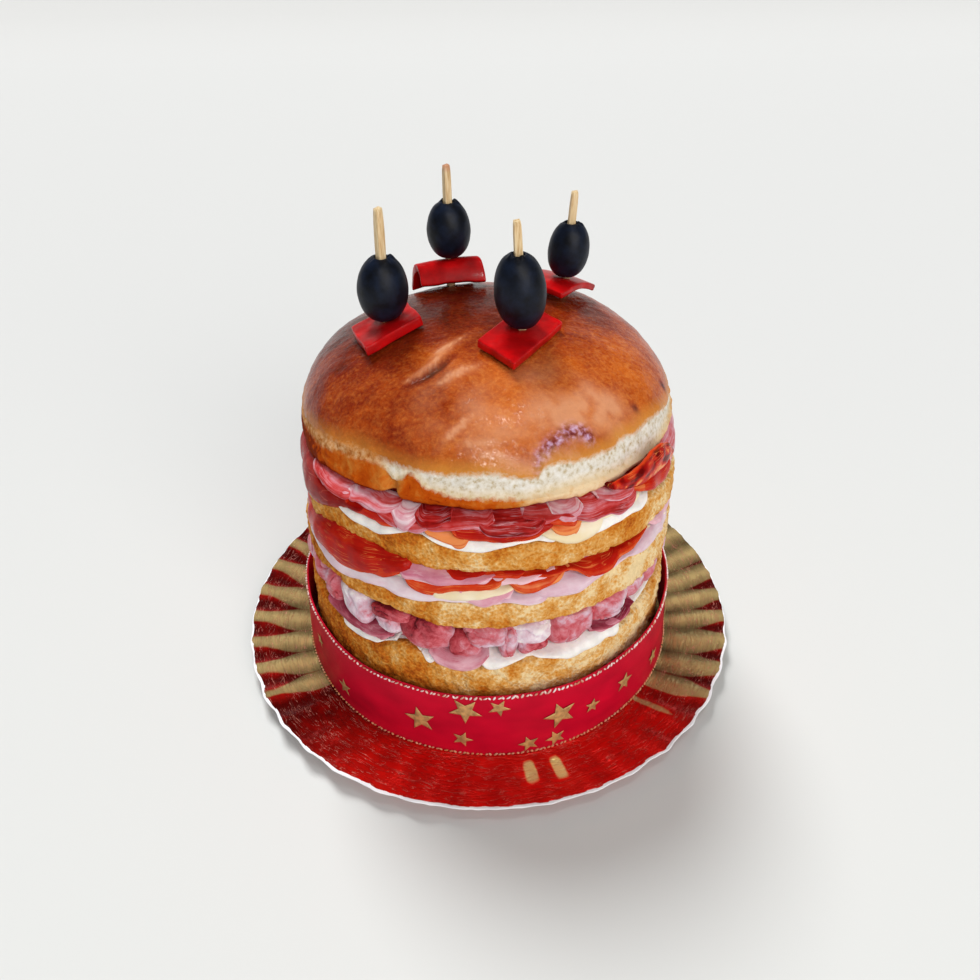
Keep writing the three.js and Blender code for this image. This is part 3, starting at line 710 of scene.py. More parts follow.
def pepper_flesh(colours):
    """Roast red pepper: wet, glossy and slightly translucent."""
    material, tree = new_material("roast_pepper")
    place = add(tree, "TexCoord").outputs["Object"]
    tone = add(tree, "TexNoise", {"Vector": place, "Scale": per(6), "Detail": 3.0})
    colour = add(tree, "ValToRGB", {"Fac": tone}, stops=[(0.3, toned(colours.pepper, 0.62)), (0.55, toned(colours.pepper, 0.95)), (0.75, toned(colours.pepper, 1.3))])
    ripple = add(tree, "TexNoise", {"Vector": place, "Scale": per(3), "Detail": 3.0})
    bump = add(tree, "Bump", {"Height": ripple, "Strength": 0.25, "Distance": 0.4 * MM})
    surface = add(
        tree,
        "BsdfPrincipled",
        {
            "Base Color": colour,
            "Roughness": 0.38,
            "IOR": 1.4,
            "Specular IOR Level": 0.2,
            "Subsurface Weight": 0.15,
            "Subsurface Radius": (1.0, 0.15, 0.1),
            "Subsurface Scale": 2 * MM,
            "Coat Weight": 0.2,
            "Coat Roughness": 0.08,
            "Normal": bump,
        },
    )
    add(tree, "OutputMaterial", {"Surface": surface})
    return material


# Plate


WELL_RADIUS = 79.0
PLATE_RADIUS = 102.2
# The flutes are uneven: the azimuth of the middle of some, and how many flutes they are from the front
FLUTES = [(-108.8, -12), (-99.0, -11), (-89.6, -10), (-80.5, -9), (-72.0, -8), (-63.4, -7), (60.8, 7), (69.2, 8),
          (78.7, 9), (85.8, 10), (93.6, 11), (251.2, 30)]


def build_plate(sizes):
    """The plate: rings from the middle of its underside out to the cut edge and back over the top."""
    under = [20, 50, 74, WELL_RADIUS, 81, 84, 88, 92, 96, 99, 101]
    rings = [(r, -CARD) for r in under] + [(PLATE_RADIUS, -CARD * 0.8), (PLATE_RADIUS, -CARD * 0.2)]
    rings += [(r, 0.0) for r in reversed(under)]
    piece = pulled("foil_plate", 220, rings, 2)
    points = points_of(piece)
    degrees = azimuth_of(points)
    azimuth = np.radians(degrees)
    radius = np.hypot(points[:, 0], points[:, 1])
    out = np.clip((radius - WELL_RADIUS) / (PLATE_RADIUS - WELL_RADIUS), 0, 1)
    rise = np.interp(out, [0, 0.4, 1], [0, 5.8 * 0.4**1.1, 5.8])
    first = FLUTES[0][0]
    flute = np.interp((degrees - first) % TURN + first, *zip(*FLUTES))
    wave = -np.cos(2 * math.pi * flute)
    crest = np.sign(wave) * np.abs(wave) ** 0.75
    uneven = 1 + 0.5 * wander(points * [1, 1, 0], 30, 3, 2)
    calm = 1 - 0.8 * smooth((np.abs(degrees) - 62) / 26)
    spread = 1 + 0.5 * wave * out**2 / PLATE_RADIUS * calm
    points[:, 0] *= spread
    points[:, 1] *= spread
    ragged = wander(points * [1, 1, 0], 9, 5, 3) * 0.5 * out**6 * calm
    points[:, 2] += rise + sizes.flute / MM * crest * uneven * out**0.7 * (1 - (0.9 - 0.4 * calm) * out**3)
    points[:, :2] *= (1 + ragged / PLATE_RADIUS)[:, None]
    points[:, 2] += wander(points, 9, 8, 2) * 0.3 * out
    move_points(piece, points)
    # Gold shows all over the far half but for a red wedge in each flute, which widens towards the rim. This is two-tone
    # foil painted only on the far half, where it is partly a painted reflection
    near = np.abs(flute - np.round(flute))
    left = degrees < 0
    far = np.where(left, smooth((-degrees - 47) / 17), smooth((degrees - 40) / 24))
    wedge = np.where(left, 0.3 * smooth((out - 0.12) / 0.7), 0.24 * smooth((out - 0.4) / 0.6))
    wedge = wedge * (1 - smooth(np.where(left, (-degrees - 125) / 45, (degrees - 92) / 14))) + 0.55 * (1 - far)
    gold = smooth((near - wedge + 0.07) / 0.14) * (far > 0.02)
    # and in two gold spots at the front, which are painted glints: painted reflections of a lamp in the foil
    painted_light = np.zeros(len(points))
    for middle, reach in ((9.5, 86.6), (16.3, 87.0)):
        painted_glint = np.exp(-(((degrees - middle) / 1.3) ** 4) - ((radius - reach) / 5.0) ** 4)
        gold = np.maximum(gold, 1.5 * painted_glint)
        painted_light += 1.1 * painted_glint
    note(piece, "gold", gold)
    # All painted light: on the far half the flutes' flanks are painted lit and shaded in turn, the front is painted
    # lighter, painted shade lies at the front left, a little more light towards the well, and the painted glints
    painted_light += 0.22 * wave * far + 0.32 * smooth((62 - np.abs(degrees - 6)) / 40) - 0.26 * smooth((-degrees - 26) / 30) * (1 - far)
    note(piece, "painted_light_level", painted_light + 0.06 * (1 - out))
    note(piece, "cut", smooth((radius - PLATE_RADIUS + 0.4 + 0.8 * calm + 0.5 * wander(points, 4, 9, 2)) / 0.3))
    note(piece, "ring", np.stack([azimuth * 90, radius, points[:, 2] * 0], axis=1))
    capped(piece)
    return piece


# Ribbon


RIBBON_FOOT = 0.4
RIBBON_TOP = 31.2


def ribbon_radius(azimuth, z):
    """Outer radius of the ribbon, which stands out a little at its foot. Azimuth is in radians."""
    lean = 77.1 - 2.0 * (z - RIBBON_FOOT) / (RIBBON_TOP - RIBBON_FOOT)
    return lean + 0.3 * np.sin(3 * azimuth + 0.6) + 0.2 * np.sin(7 * azimuth)


STARS = [  # azimuth, height and width of each star's points, and its turn in degrees
    (-19.6, 15.2, 12.5, 12),
    (-6.7, 23.9, 12.8, 36),
    (-7.7, 8.8, 8.0, -18),
    (2.4, 25.9, 8.4, -27),
    (10.4, 5.6, 8.2, 15),
    (18.1, 5.4, 8.2, 20),
    (19.4, 17.1, 13.4, 15),
    (29.7, 14.5, 7.0, -12),
    (42.1, 15.6, 9.0, -14),
    (58.2, 11.3, 8.0, 5),
    (-47.1, 10.1, 8.0, 9),
    (-61.6, 19.2, 6.5, -6),
]


def build_ribbon(sizes):
    """The satin band: a thin hoop whose upper half waves a little."""
    step = 31.2 / 14
    outer = [(76, RIBBON_FOOT + step * i) for i in range(14)]
    piece = pulled("satin_band", 240, outer)
    modified(piece, "SOLIDIFY", thickness=0.8 * MM, offset=-1.0)
    subdivided(piece, 1)
    points = points_of(piece)
    azimuth = np.radians(azimuth_of(points))
    radius = np.hypot(points[:, 0], points[:, 1])
    depth = radius - 76
    foot, top = points[:, 2].min(), points[:, 2].max()
    share = (points[:, 2] - foot) / (top - foot)
    z = RIBBON_FOOT + share * (RIBBON_TOP - RIBBON_FOOT)
    wobble = 0.35 * np.sin(5 * azimuth + 1) * share + 0.25 * np.sin(11 * azimuth)
    reach = ribbon_radius(azimuth, z) + depth
    reach += 0.25 * wander(points, 14, 4, 2)
    points[:, 0] = reach * np.sin(azimuth)
    points[:, 1] = -reach * np.cos(azimuth)
    points[:, 2] = z + wobble * smooth((share - 0.5) * 2)
    move_points(piece, points)
    note(piece, "wrap", np.stack([azimuth * 76, z, z * 0], axis=1))
    return piece


def build_stars(sizes):
    """Five-pointed stars in gold ink, bent round the band."""
    star = begin("gold_star", "circle", vertices=10, radius=1.0, fill_type="TRIFAN")
    bpy.ops.object.mode_set(mode="EDIT")
    mesh = bmesh.from_edit_mesh(star.data)
    for vertex in mesh.verts:
        vertex.select = False
    mesh.select_flush(False)
    for vertex in mesh.verts:
        turn = math.degrees(math.atan2(vertex.co.x, vertex.co.y)) % 72
        vertex.select = vertex.co.length > 0.5 and abs(turn - 36) < 10
    bmesh.update_edit_mesh(star.data)
    bpy.ops.transform.resize(value=(0.42, 0.42, 1), center_override=(0, 0, 0))
    bpy.ops.mesh.select_all(action="SELECT")
    bpy.ops.mesh.subdivide(number_cuts=3)
    bpy.ops.object.mode_set(mode="OBJECT")
    modified(star, "SOLIDIFY", thickness=0.03, offset=0.0)
    flat = np.array([v.co for v in star.data.vertices])
    rng = np.random.default_rng(61)
    places = list(STARS)
    azimuth = 74.0
    while azimuth < 292:
        wide = 12.5 if rng.random() < 0.45 else 7.5
        places.append((azimuth, rng.uniform(wide / 2 + 2, 28 - wide / 2), wide, rng.uniform(-16, 16)))
        azimuth += wide * 0.55 + rng.uniform(3, 9)
    copies = []
    for index, (middle, height, wide, turn) in enumerate(places):
        twin = copied(star, f"star_{index}")
        spin = math.radians(turn)
        half = wide / 2
        u = half * (flat[:, 0] * math.cos(spin) - flat[:, 1] * math.sin(spin))
        v = half * (flat[:, 0] * math.sin(spin) + flat[:, 1] * math.cos(spin))
        angle = math.radians(middle) + u / 76
        z = height + v
        reach = ribbon_radius(angle, z) + 0.32 + flat[:, 2]
        move_points(twin, np.stack([reach * np.sin(angle), -reach * np.cos(angle), z], axis=1))
        copies.append(twin)
    bpy.data.objects.remove(star)
    return joined(copies, "gold_stars")


def build_overlock(sizes):
    """Overlock stitches: slanting loops of thread round both edges of the band."""
    stitch = begin("stitch", "uv_sphere", segments=8, ring_count=6, radius=0.5)
    bpy.ops.object.mode_set(mode="EDIT")
    bpy.ops.mesh.select_all(action="SELECT")
    bpy.ops.transform.resize(value=(1.0, 1.0, 1.9))
    bpy.ops.object.mode_set(mode="OBJECT")
    shape = np.array([v.co for v in stitch.data.vertices])
    rng = np.random.default_rng(12)
    count = 290
    copies = []
    for top in (True, False):
        for i in range(count):
            angle = math.radians(TURN * (i + rng.uniform(-0.2, 0.2)) / count)
            slant = rng.uniform(0.2, 0.75) * (1 if i % 3 else -0.5)
            twin = copied(stitch, "stitch_copy")
            long = rng.uniform(0.55, 1.3) * (0.9 if top else 0.62)
            long *= 0.7 + 0.3 * smooth((math.degrees(angle) + 20 if angle < math.pi else math.degrees(angle) - 340) / 20)
            u = shape[:, 0] * rng.uniform(0.8, 1.15) + shape[:, 2] * slant
            v = shape[:, 2] * long * 0.85
            curl = np.clip(v - 0.3 if top else -v - 0.3, 0, 2)
            middle = RIBBON_TOP - 0.7 if top else RIBBON_FOOT + 0.9
            wobble = 0.35 * math.sin(5 * angle + 1) + 0.25 * math.sin(11 * angle) if top else 0.0
            turn = angle + u / 76
            z = middle + v + wobble
            reach = ribbon_radius(turn, z) + 0.25 + shape[:, 1] * 0.75 - 0.35 * curl**2
            move_points(twin, np.stack([reach * np.sin(turn), -reach * np.cos(turn), z], axis=1))
            copies.append(twin)
    bpy.data.objects.remove(stitch)
    return joined(copies, "ribbon_overlock")


# Bread


SLICES = [
    {
        "name": "toasted_base",
        "node": "bread_base",
        "radius": 71.5,
        "shift": 0.0,
        "foot": 0.3,
        "top": 42.5,
        "round": 4.0,
        "phase": 0.4,
        "side_line": [(-180, 0), (180, 0)],
        "foot_line": [(-180, 0), (180, 0)],
        "top_line": [(-75, 0), (-60, -1), (-46, -2), (-33, 0), (-26, 3.6), (-18, 0.4), (-8, -1.8), (3, -0.3), (8, 1),
                     (16, 0.3), (23, -1.2), (34, -1.2), (45, -2), (60, -1), (90, 0)],
        "toast": [(-40, 0.28), (-15, 0.16), (15, 0.04), (45, -0.06), (90, 0.0), (180, 0.1), (-90, 0.2)],
    },
    {
        "name": "toasted_lower",
        "node": "bread_lower",
        "radius": 71.3,
        "shift": 0.0,
        "foot": 60.9,
        "top": 73.4,
        "round": 1.6,
        "phase": 1.7,
        "side_line": [(-125, 0), (-98, -1.6), (-82, -2.2), (-70, -1.4), (-60, -0.3), (-50, 0)],
        "foot_line": [(-70, 0), (-47, 0.9), (-40, -0.9), (-27, 0.9), (-13, -0.9), (3, -0.6), (11, 0.9), (29, 0.6),
                      (42, 0), (52, -1), (75, 0)],
        "top_line": [(-70, 0), (-43, -0.8), (-33, 0), (-24, -0.8), (-7, -0.3), (-1, -0.8), (16, -0.8), (31, 0.3),
                     (40, 1.6), (53, -0.5), (75, 0)],
        "toast": [(-55, 0.2), (-30, 0.14), (-5, 0.06), (20, 0.0), (50, -0.1), (90, 0.0), (180, 0.08), (-90, 0.16)],
    },
    {
        "name": "toasted_upper",
        "node": "bread_upper",
        "radius": 69.7,
        "shift": 1.0,
        "foot": 83.8,
        "top": 95.5,
        "round": 1.6,
        "phase": 2.9,
        "side_line": [(-125, 0), (-98, -0.8), (-82, -1.1), (-68, -0.4), (-60, 0.3), (-50, 0)],
        "foot_line": [(-75, -0.5), (-57, -0.6), (-50, -1), (-40, 0.5), (-28, 0.8), (-20, -0.8), (-4, -0.2), (3, 1.2), (16, 0),
                      (33, 0.6), (46, -0.3), (80, 0)],
        "top_line": [(-75, 0), (-61, -0.6), (-56, -1.2), (-51, -1.4), (-46, 0), (-40, 2), (-30, 2.6), (-23, 1.4), (-15, 0.4), (-2, -0.6), (13, 0.7),
                     (24, -0.6), (36, 0.3), (49, 0.5), (75, 0)],
        "toast": [(-60, 0.08), (-40, 0.12), (-24, 0.26), (-10, 0.06), (15, 0.04), (35, 0.16), (60, 0.0), (180, 0.08),
                  (-90, 0.08)],
    },
]


def build_slice(sizes, part):
    """One slice: a thick disc whose edges rise and fall, with a torn, spongy side."""
    radius, foot, top, bend = part["radius"], part["foot"], part["top"], part["round"]
    rings = [(30, foot), (radius - 8, foot), (radius - bend - 0.6, foot), (radius - bend * 0.3, foot + bend * 0.3)]
    rings += [(radius, foot + bend + 0.4)]
    steps = max(3, round((top - foot) / 3.2))
    low, high = foot + bend + 0.4, top - 1.6
    rings += [(radius + 0.2 * math.sin(math.pi * i / steps), low + (high - low) * i / steps) for i in range(1, steps + 1)]
    rings += [(radius - 0.5, top - 0.5), (radius - 1.8, top), (radius - 8, top), (30, top)]
    piece = pulled(part["name"], 160, rings, 2)
    points = points_of(piece)
    azimuth = azimuth_of(points)
    out = np.hypot(points[:, 0], points[:, 1])
    rim = smooth((out - radius + 9) / 7)
    share = np.clip((points[:, 2] - foot) / (top - foot), 0, 1)
    points[:, 2] += rim * (share * along_line(part["top_line"], azimuth) + (1 - share) * along_line(part["foot_line"], azimuth))
    points[:, 2] += rim * sag_at(points[:, 2], azimuth)
    side = smooth((out - radius + 3.2) / 2.6)
    angle = np.radians(azimuth)
    crag = 0.25 * np.sin(5 * angle + part["phase"]) + 0.2 * np.sin(11 * angle + 2 * part["phase"])
    crag += sizes.crag / MM * wander(points, 7, 21 + part["phase"], 2) + 0.42 * wander(points, 2.6, 31 + part["phase"], 3)
    pits = np.clip(ridges(points, 4.5, 41 + part["phase"]) - 0.8, 0, 1) * -2.6
    push = side * (crag + pits) + rim * along_line(part["side_line"], azimuth)
    points[:, 0] += np.sin(angle) * push + part["shift"]
    points[:, 1] -= np.cos(angle) * push
    points[:, 2] += side * 0.3 * wander(points, 3.2, 51 + part["phase"], 2)
    points[:, 2] -= fall_at(points[:, 2]) * points[:, 0]
    move_points(piece, points)
    toast = along_line(sorted(part["toast"]), azimuth)
    toast = toast + 0.12 * wander(points, 9, 61 + part["phase"], 2) + 0.1 * (0.5 - share)
    note(piece, "toast", toast - 0.17)
    capped(piece)
    return piece


# Lines traced round the dome, at the azimuths in degrees
CAP_EDGE = [(-72, 113), (-67.5, 114.4), (-64.3, 114.9), (-56.5, 116), (-50.9, 117.1), (-46, 118), (-42, 119), (-38, 119.3),
            (-34, 119.1), (-30.6, 118.8), (-27, 118.3), (-24, 118), (-18, 117.8), (-9.6, 117.9), (-4, 118.4), (1, 118.7),
            (3.7, 118.4), (6.3, 117.4), (9, 116.9), (11.6, 116.5), (13.8, 116.5), (15.4, 118.4), (17, 119.2), (20.5, 119.3),
            (23.4, 118.7), (26.4, 118.4), (33, 118.4), (36.6, 118), (39, 118.5), (41.2, 119.4), (44.6, 119.3), (48, 118.6),
            (55, 119), (60, 118.3), (65.5, 117.2), (72, 115.4), (110, 117), (150, 118.5), (185, 117), (220, 118.5),
            (250, 116.5), (275, 114.4)]
RING_TOP = [(-72, 111.2), (-65.5, 111.9), (-61.5, 112.1), (-55.5, 112.4), (-50, 113.7), (-45, 115.3), (-41, 115.8),
            (-37, 116.4), (-33.5, 116.8), (-30.8, 117), (-28.3, 116), (-26, 112.4), (-23.5, 114.6), (-22, 115.9),
            (-20, 116.6), (-18.3, 115.5), (-17, 113.6), (-15, 112.8), (-12, 112.2), (-9.5, 111.6), (-7, 111.2), (1, 111.2),
            (6, 110.7), (8.7, 110.2), (14, 110.5), (19.6, 111.4), (25.5, 111.6), (32, 111.2), (39, 110.7), (47.5, 110.2),
            (52, 110.2), (75, 110.5), (100, 112), (140, 110.8), (170, 112.6), (205, 111), (250, 112)]
RING_FOOT = [(-112, 105.5), (-96, 101.5), (-80, 98.6), (-70, 99.2), (-64, 101.6), (-59, 103.4), (-55, 104), (-50, 104.9), (-44, 106), (-40, 106.8), (-37, 106),
             (-33, 106.4), (-30, 107.2), (-28, 108), (-24, 106), (-18, 106), (-12, 106.9), (-4, 106.1), (1, 106.4),
             (9, 106.8), (14, 107.4), (20, 107.2), (26, 106), (36, 106.6), (60, 106), (120, 106.8), (180, 105.6)]
RING_TOAST = [(-75, 0.7), (-60, 0.62), (-46, 0.44), (-40, 0.46), (-34, 0.5), (-29, 0.38), (-26, 0.2), (-23, 0.46), (-18, 0.52),
              (-10, 0.54), (-2, 0.48), (7, 0.42), (11, 0.14), (20, -0.04), (45, -0.08), (70, 0.06), (110, 0.45), (150, 0.3),
              (190, 0.5), (230, 0.5)]
CREASE = [(-7.0, -22.4), (-10.7, -26.3), (-13.8, -30.7), (-18.4, -34.3), (-23.0, -37.3), (-26.8, -37.9)]
SCAR = [(31.5, -51.5), (29.5, -50.6), (26.5, -51.2), (24.0, -52.6), (21.0, -55.0), (18.3, -57.5), (16.4, -59.5), (15.8, -62.0)]


def off_path(points, path):
    """Distance in mm from each point to a line seen from above, the side it lies on, and how far along it is."""
    best = np.full(len(points), 1e9)
    side = np.zeros(len(points))
    along = np.zeros(len(points))
    for index, (a, b) in enumerate(zip(path, path[1:])):
        ax, ay = a
        dx, dy = b[0] - ax, b[1] - ay
        t = np.clip(((points[:, 0] - ax) * dx + (points[:, 1] - ay) * dy) / (dx * dx + dy * dy), 0, 1)
        ox, oy = points[:, 0] - ax - t * dx, points[:, 1] - ay - t * dy
        distance = np.hypot(ox, oy)
        nearer = distance < best
        best = np.where(nearer, distance, best)
        side = np.where(nearer, np.sign(dx * oy - dy * ox), side)
        along = np.where(nearer, (index + t) / (len(path) - 1), along)
    return best, side, along


def blob(points, x, y, wide, deep=None, turn=0.0):
    """A soft round or oval spot seen from above, 1 in its middle."""
    spin = math.radians(turn)
    u = (points[:, 0] - x) * math.cos(spin) + (points[:, 1] - y) * math.sin(spin)
    v = (points[:, 1] - y) * math.cos(spin) - (points[:, 0] - x) * math.sin(spin)
    return np.exp(-((u / wide) ** 2) - (v / (deep or wide)) ** 2)


def build_dome(sizes):
    """The domed top: a torn ring below, a band of bare crumb, and the glazed cap with its crease and scar."""
    foot = 106.0
    rings = [(30, foot), (57, foot), (63.4, foot), (65.4, foot + 0.5), (66.2, foot + 1.6), (66.5, foot + 3), (66.4, foot + 4.2)]
    for out in (66.1, 65.7, 65.2, 64.6, 63.8, 62.8, 61.6, 60.2, 58.4, 56.2, 53.6, 50.6, 47.2, 43.4, 39.2, 34.8, 30, 25, 19.6,
                13.6, 7.4, 2.0):
        rings.append((out, float(crown_height(out + CROWN_SHIFT, 0.0)) + CAP_LIFT))
    piece = pulled("glazed_dome", 128, rings, 2)
    points = points_of(piece)
    out = np.hypot(points[:, 0], points[:, 1])
    swell = crown_height(points[:, 0] + CROWN_SHIFT, points[:, 1]) - crown_height(out + CROWN_SHIFT, 0 * out)
    points[:, 2] += swell * smooth((points[:, 2] - 109) / 3)
    points[:, 0] += CROWN_SHIFT
    move_points(piece, points)
    points = points_of(piece)
    normals = normals_of(piece)
    azimuth = azimuth_of(points)
    angle = np.radians(azimuth)
    radius = np.hypot(points[:, 0] - CROWN_SHIFT, points[:, 1])
    rough = wander(points, 2.4, 71, 3)
    cap_edge = along_line(CAP_EDGE, azimuth)
    ring_top = np.minimum(along_line(RING_TOP, azimuth), cap_edge - 1.4)
    above_cap = points[:, 2] - cap_edge
    above_ring = points[:, 2] - ring_top
    # The foot follows its own line
    dip = along_line(RING_FOOT, azimuth) - foot
    low = smooth(1 - (points[:, 2] - foot) / 6) * smooth((radius - 56) / 8)
    points[:, 2] += dip * low
    # The crumb is torn back between the cap's lip and the ring
    between = smooth((above_ring + 0.6) / 1.6) * smooth((0.8 - above_cap) / 1.6)
    side = smooth((radius - 58) / 5)
    bare = smooth((azimuth + 31) / 6) + smooth((-azimuth - 80) / 20)
    push = -0.7 * between * side * np.clip(bare, 0, 1)
    push += side * smooth((1.5 - above_ring) / 3) * (0.25 * np.sin(5 * angle) + 0.5 * wander(points, 8, 72, 2) + 0.3 * rough)
    push += side * between * (0.35 * rough + 0.4 * wander(points, 4.5, 73, 2))
    lip = np.exp(-(((above_cap - 1.2) / 1.3) ** 2))
    push += side * lip * (0.15 + 0.25 * wander(points, 6, 74, 2))
    # Broad swells, wrinkles and pits of the glazed skin
    skin = smooth((above_cap + 0.3) / 1.5)
    push += skin * (sizes.swell / MM * wander(points, 22, 75, 2) + 0.12 * wander(points, 3.4, 76, 3))
    crease, crease_side, along = off_path(points, CREASE)
    ends = smooth(np.minimum(along / 0.3, (1 - along) / 0.5))
    push += skin * ends * (-1.0 * np.exp(-((crease / 1.3) ** 2)) + 0.5 * np.exp(-(((crease * crease_side + 2.6) / 1.5) ** 2)))
    fold = blob(points, -14.0, -24.5, 11, 3.4, 52)
    push += skin * 0.9 * fold
    push += skin * 1.3 * blob(points, -7.0, -35, 9, 6, 40) + skin * 0.6 * blob(points, -29, -38, 9, 6, 30)
    scar, _, scar_along = off_path(points, SCAR)
    push += skin * 0.35 * np.exp(-((scar / 1.4) ** 2)) * (1 + 1.2 * wander(points, 1.6, 77, 2))
    ripple = np.hypot(points[:, 0] - 12, points[:, 1] + 14)
    wrinkled = blob(points, 14, -42, 17, 7, 10)
    push += skin * wrinkled * 0.16 * np.sin(ripple * 2.6 + 2.5 * wander(points, 6, 78, 2))
    tears = smooth(1 - np.abs(azimuth - 43) / 7) * smooth((above_cap + 2) / 2) * smooth((7 - above_cap) / 3)
    push += -0.35 * tears * np.clip(np.sin(np.radians(azimuth) * 90), 0, 1)
    points += normals * push[:, None]
    # A wedge is torn out of the ring at the left
    wedge = np.exp(-(((azimuth + 26.3) / 1.5) ** 2)) * side * smooth((ring_top + 1 - points[:, 2]) / 2)
    points[:, 0] -= np.sin(angle) * wedge * 3.2
    points[:, 1] += np.cos(angle) * wedge * 3.2
    move_points(piece, points)
    note(piece, "above_cap", above_cap)
    note(piece, "above_ring", above_ring)
    note(piece, "toast", along_line(RING_TOAST, azimuth) + 0.2 * smooth((3 - (points[:, 2] - foot)) / 3))
    # The crust's tone: darker over the top and at the back left, lighter at the front, with painted shade down the
    # crease
    bake_tone_and_shade = 0.08 - 0.1 * blob(points, -44, -20, 26, 40) - 0.06 * blob(points, -20, -50, 18, 10)
    bake_tone_and_shade += 0.14 * blob(points, 3, -55, 15, 9) + 0.08 * blob(points, 50, -28, 14, 26) + 0.08 * blob(points, 16, -34, 24, 16)
    bake_tone_and_shade -= 0.17 * blob(points, -8, 4, 32, 22) + 0.24 * blob(points, -22, 28, 46, 28) + 0.1 * blob(points, -48, 8, 16, 24) + 0.12 * blob(points, 40, 14, 18, 24)
    # Painted shade down the crease
    bake_tone_and_shade -= 0.3 * np.exp(-((crease / 1.3) ** 2)) * ends
    bake_tone_and_shade += 0.1 * fold
    salmon_and_glints = 0.85 * blob(points, 27, -47, 12, 6, 25) + 0.36 * blob(points, 8, -54, 13, 7) + 0.24 * blob(points, -9, -44, 11, 12)
    salmon_and_glints += 0.3 * blob(points, 18, -38, 12, 8, 20) + 0.55 * blob(points, 38, -41, 10, 7)
    # Painted highlights: glints and pale streaks of light on the glaze, and a painted highlight along the crease's
    # ridge
    painted_glints = blob(points, -8.1, -53.2, 5, 1.1, 35) + blob(points, -8.5, -35, 6.5, 1.6, 30) + blob(points, -12, -21.5, 6.5, 1.3, 52)
    painted_glints += blob(points, 5, -60.6, 7, 1.0, -8) + 0.8 * blob(points, -1, -57.4, 5, 0.9, 0)
    painted_glints += 0.7 * np.exp(-(((crease * crease_side + 2.6) / 1.1) ** 2)) * ends
    salmon_and_glints = salmon_and_glints * (0.75 + 1.0 * wander(points, 9, 79, 3)) + 0.9 * painted_glints * (0.6 + 2.2 * np.clip(wander(points, 2.0, 80, 3), 0, 1))
    scarred = np.exp(-((scar / 1.7) ** 2)) * (1.1 - 0.2 * scar_along) * (1 + 0.5 * wander(points, 2.6, 81, 3))
    spots = 0.7 * blob(points, 60.7, -16.9, 1.4, 1.2) + 0.7 * blob(points, 9, 30, 4, 2) + 0.6 * blob(points, 48, -36, 1.6, 1.2)
    note(piece, "tint", np.stack([bake_tone_and_shade - 0.5 * spots, np.clip(salmon_and_glints, 0, 0.75), np.clip(scarred, 0, 1)], axis=1))
    behind = smooth((-azimuth - 105) / 45)
    smear = (1 - smooth((azimuth + 33) / 7)) * (1 - behind)
    golden = 0.55 + 0.45 * np.maximum(smooth((azimuth + 25) / 15), behind)
    note(piece, "torn", np.stack([smear, golden, smear * 0], axis=1))
    capped(piece)
    return piece


# Fillings. A leaf is one slice of food that hangs over the bread's edge: its lower edge as azimuths and heights, its
# reach from the middle (one, or at azimuths), the height where it comes out of the loaf, its thickness, and how much
# paler it is than its fellows.

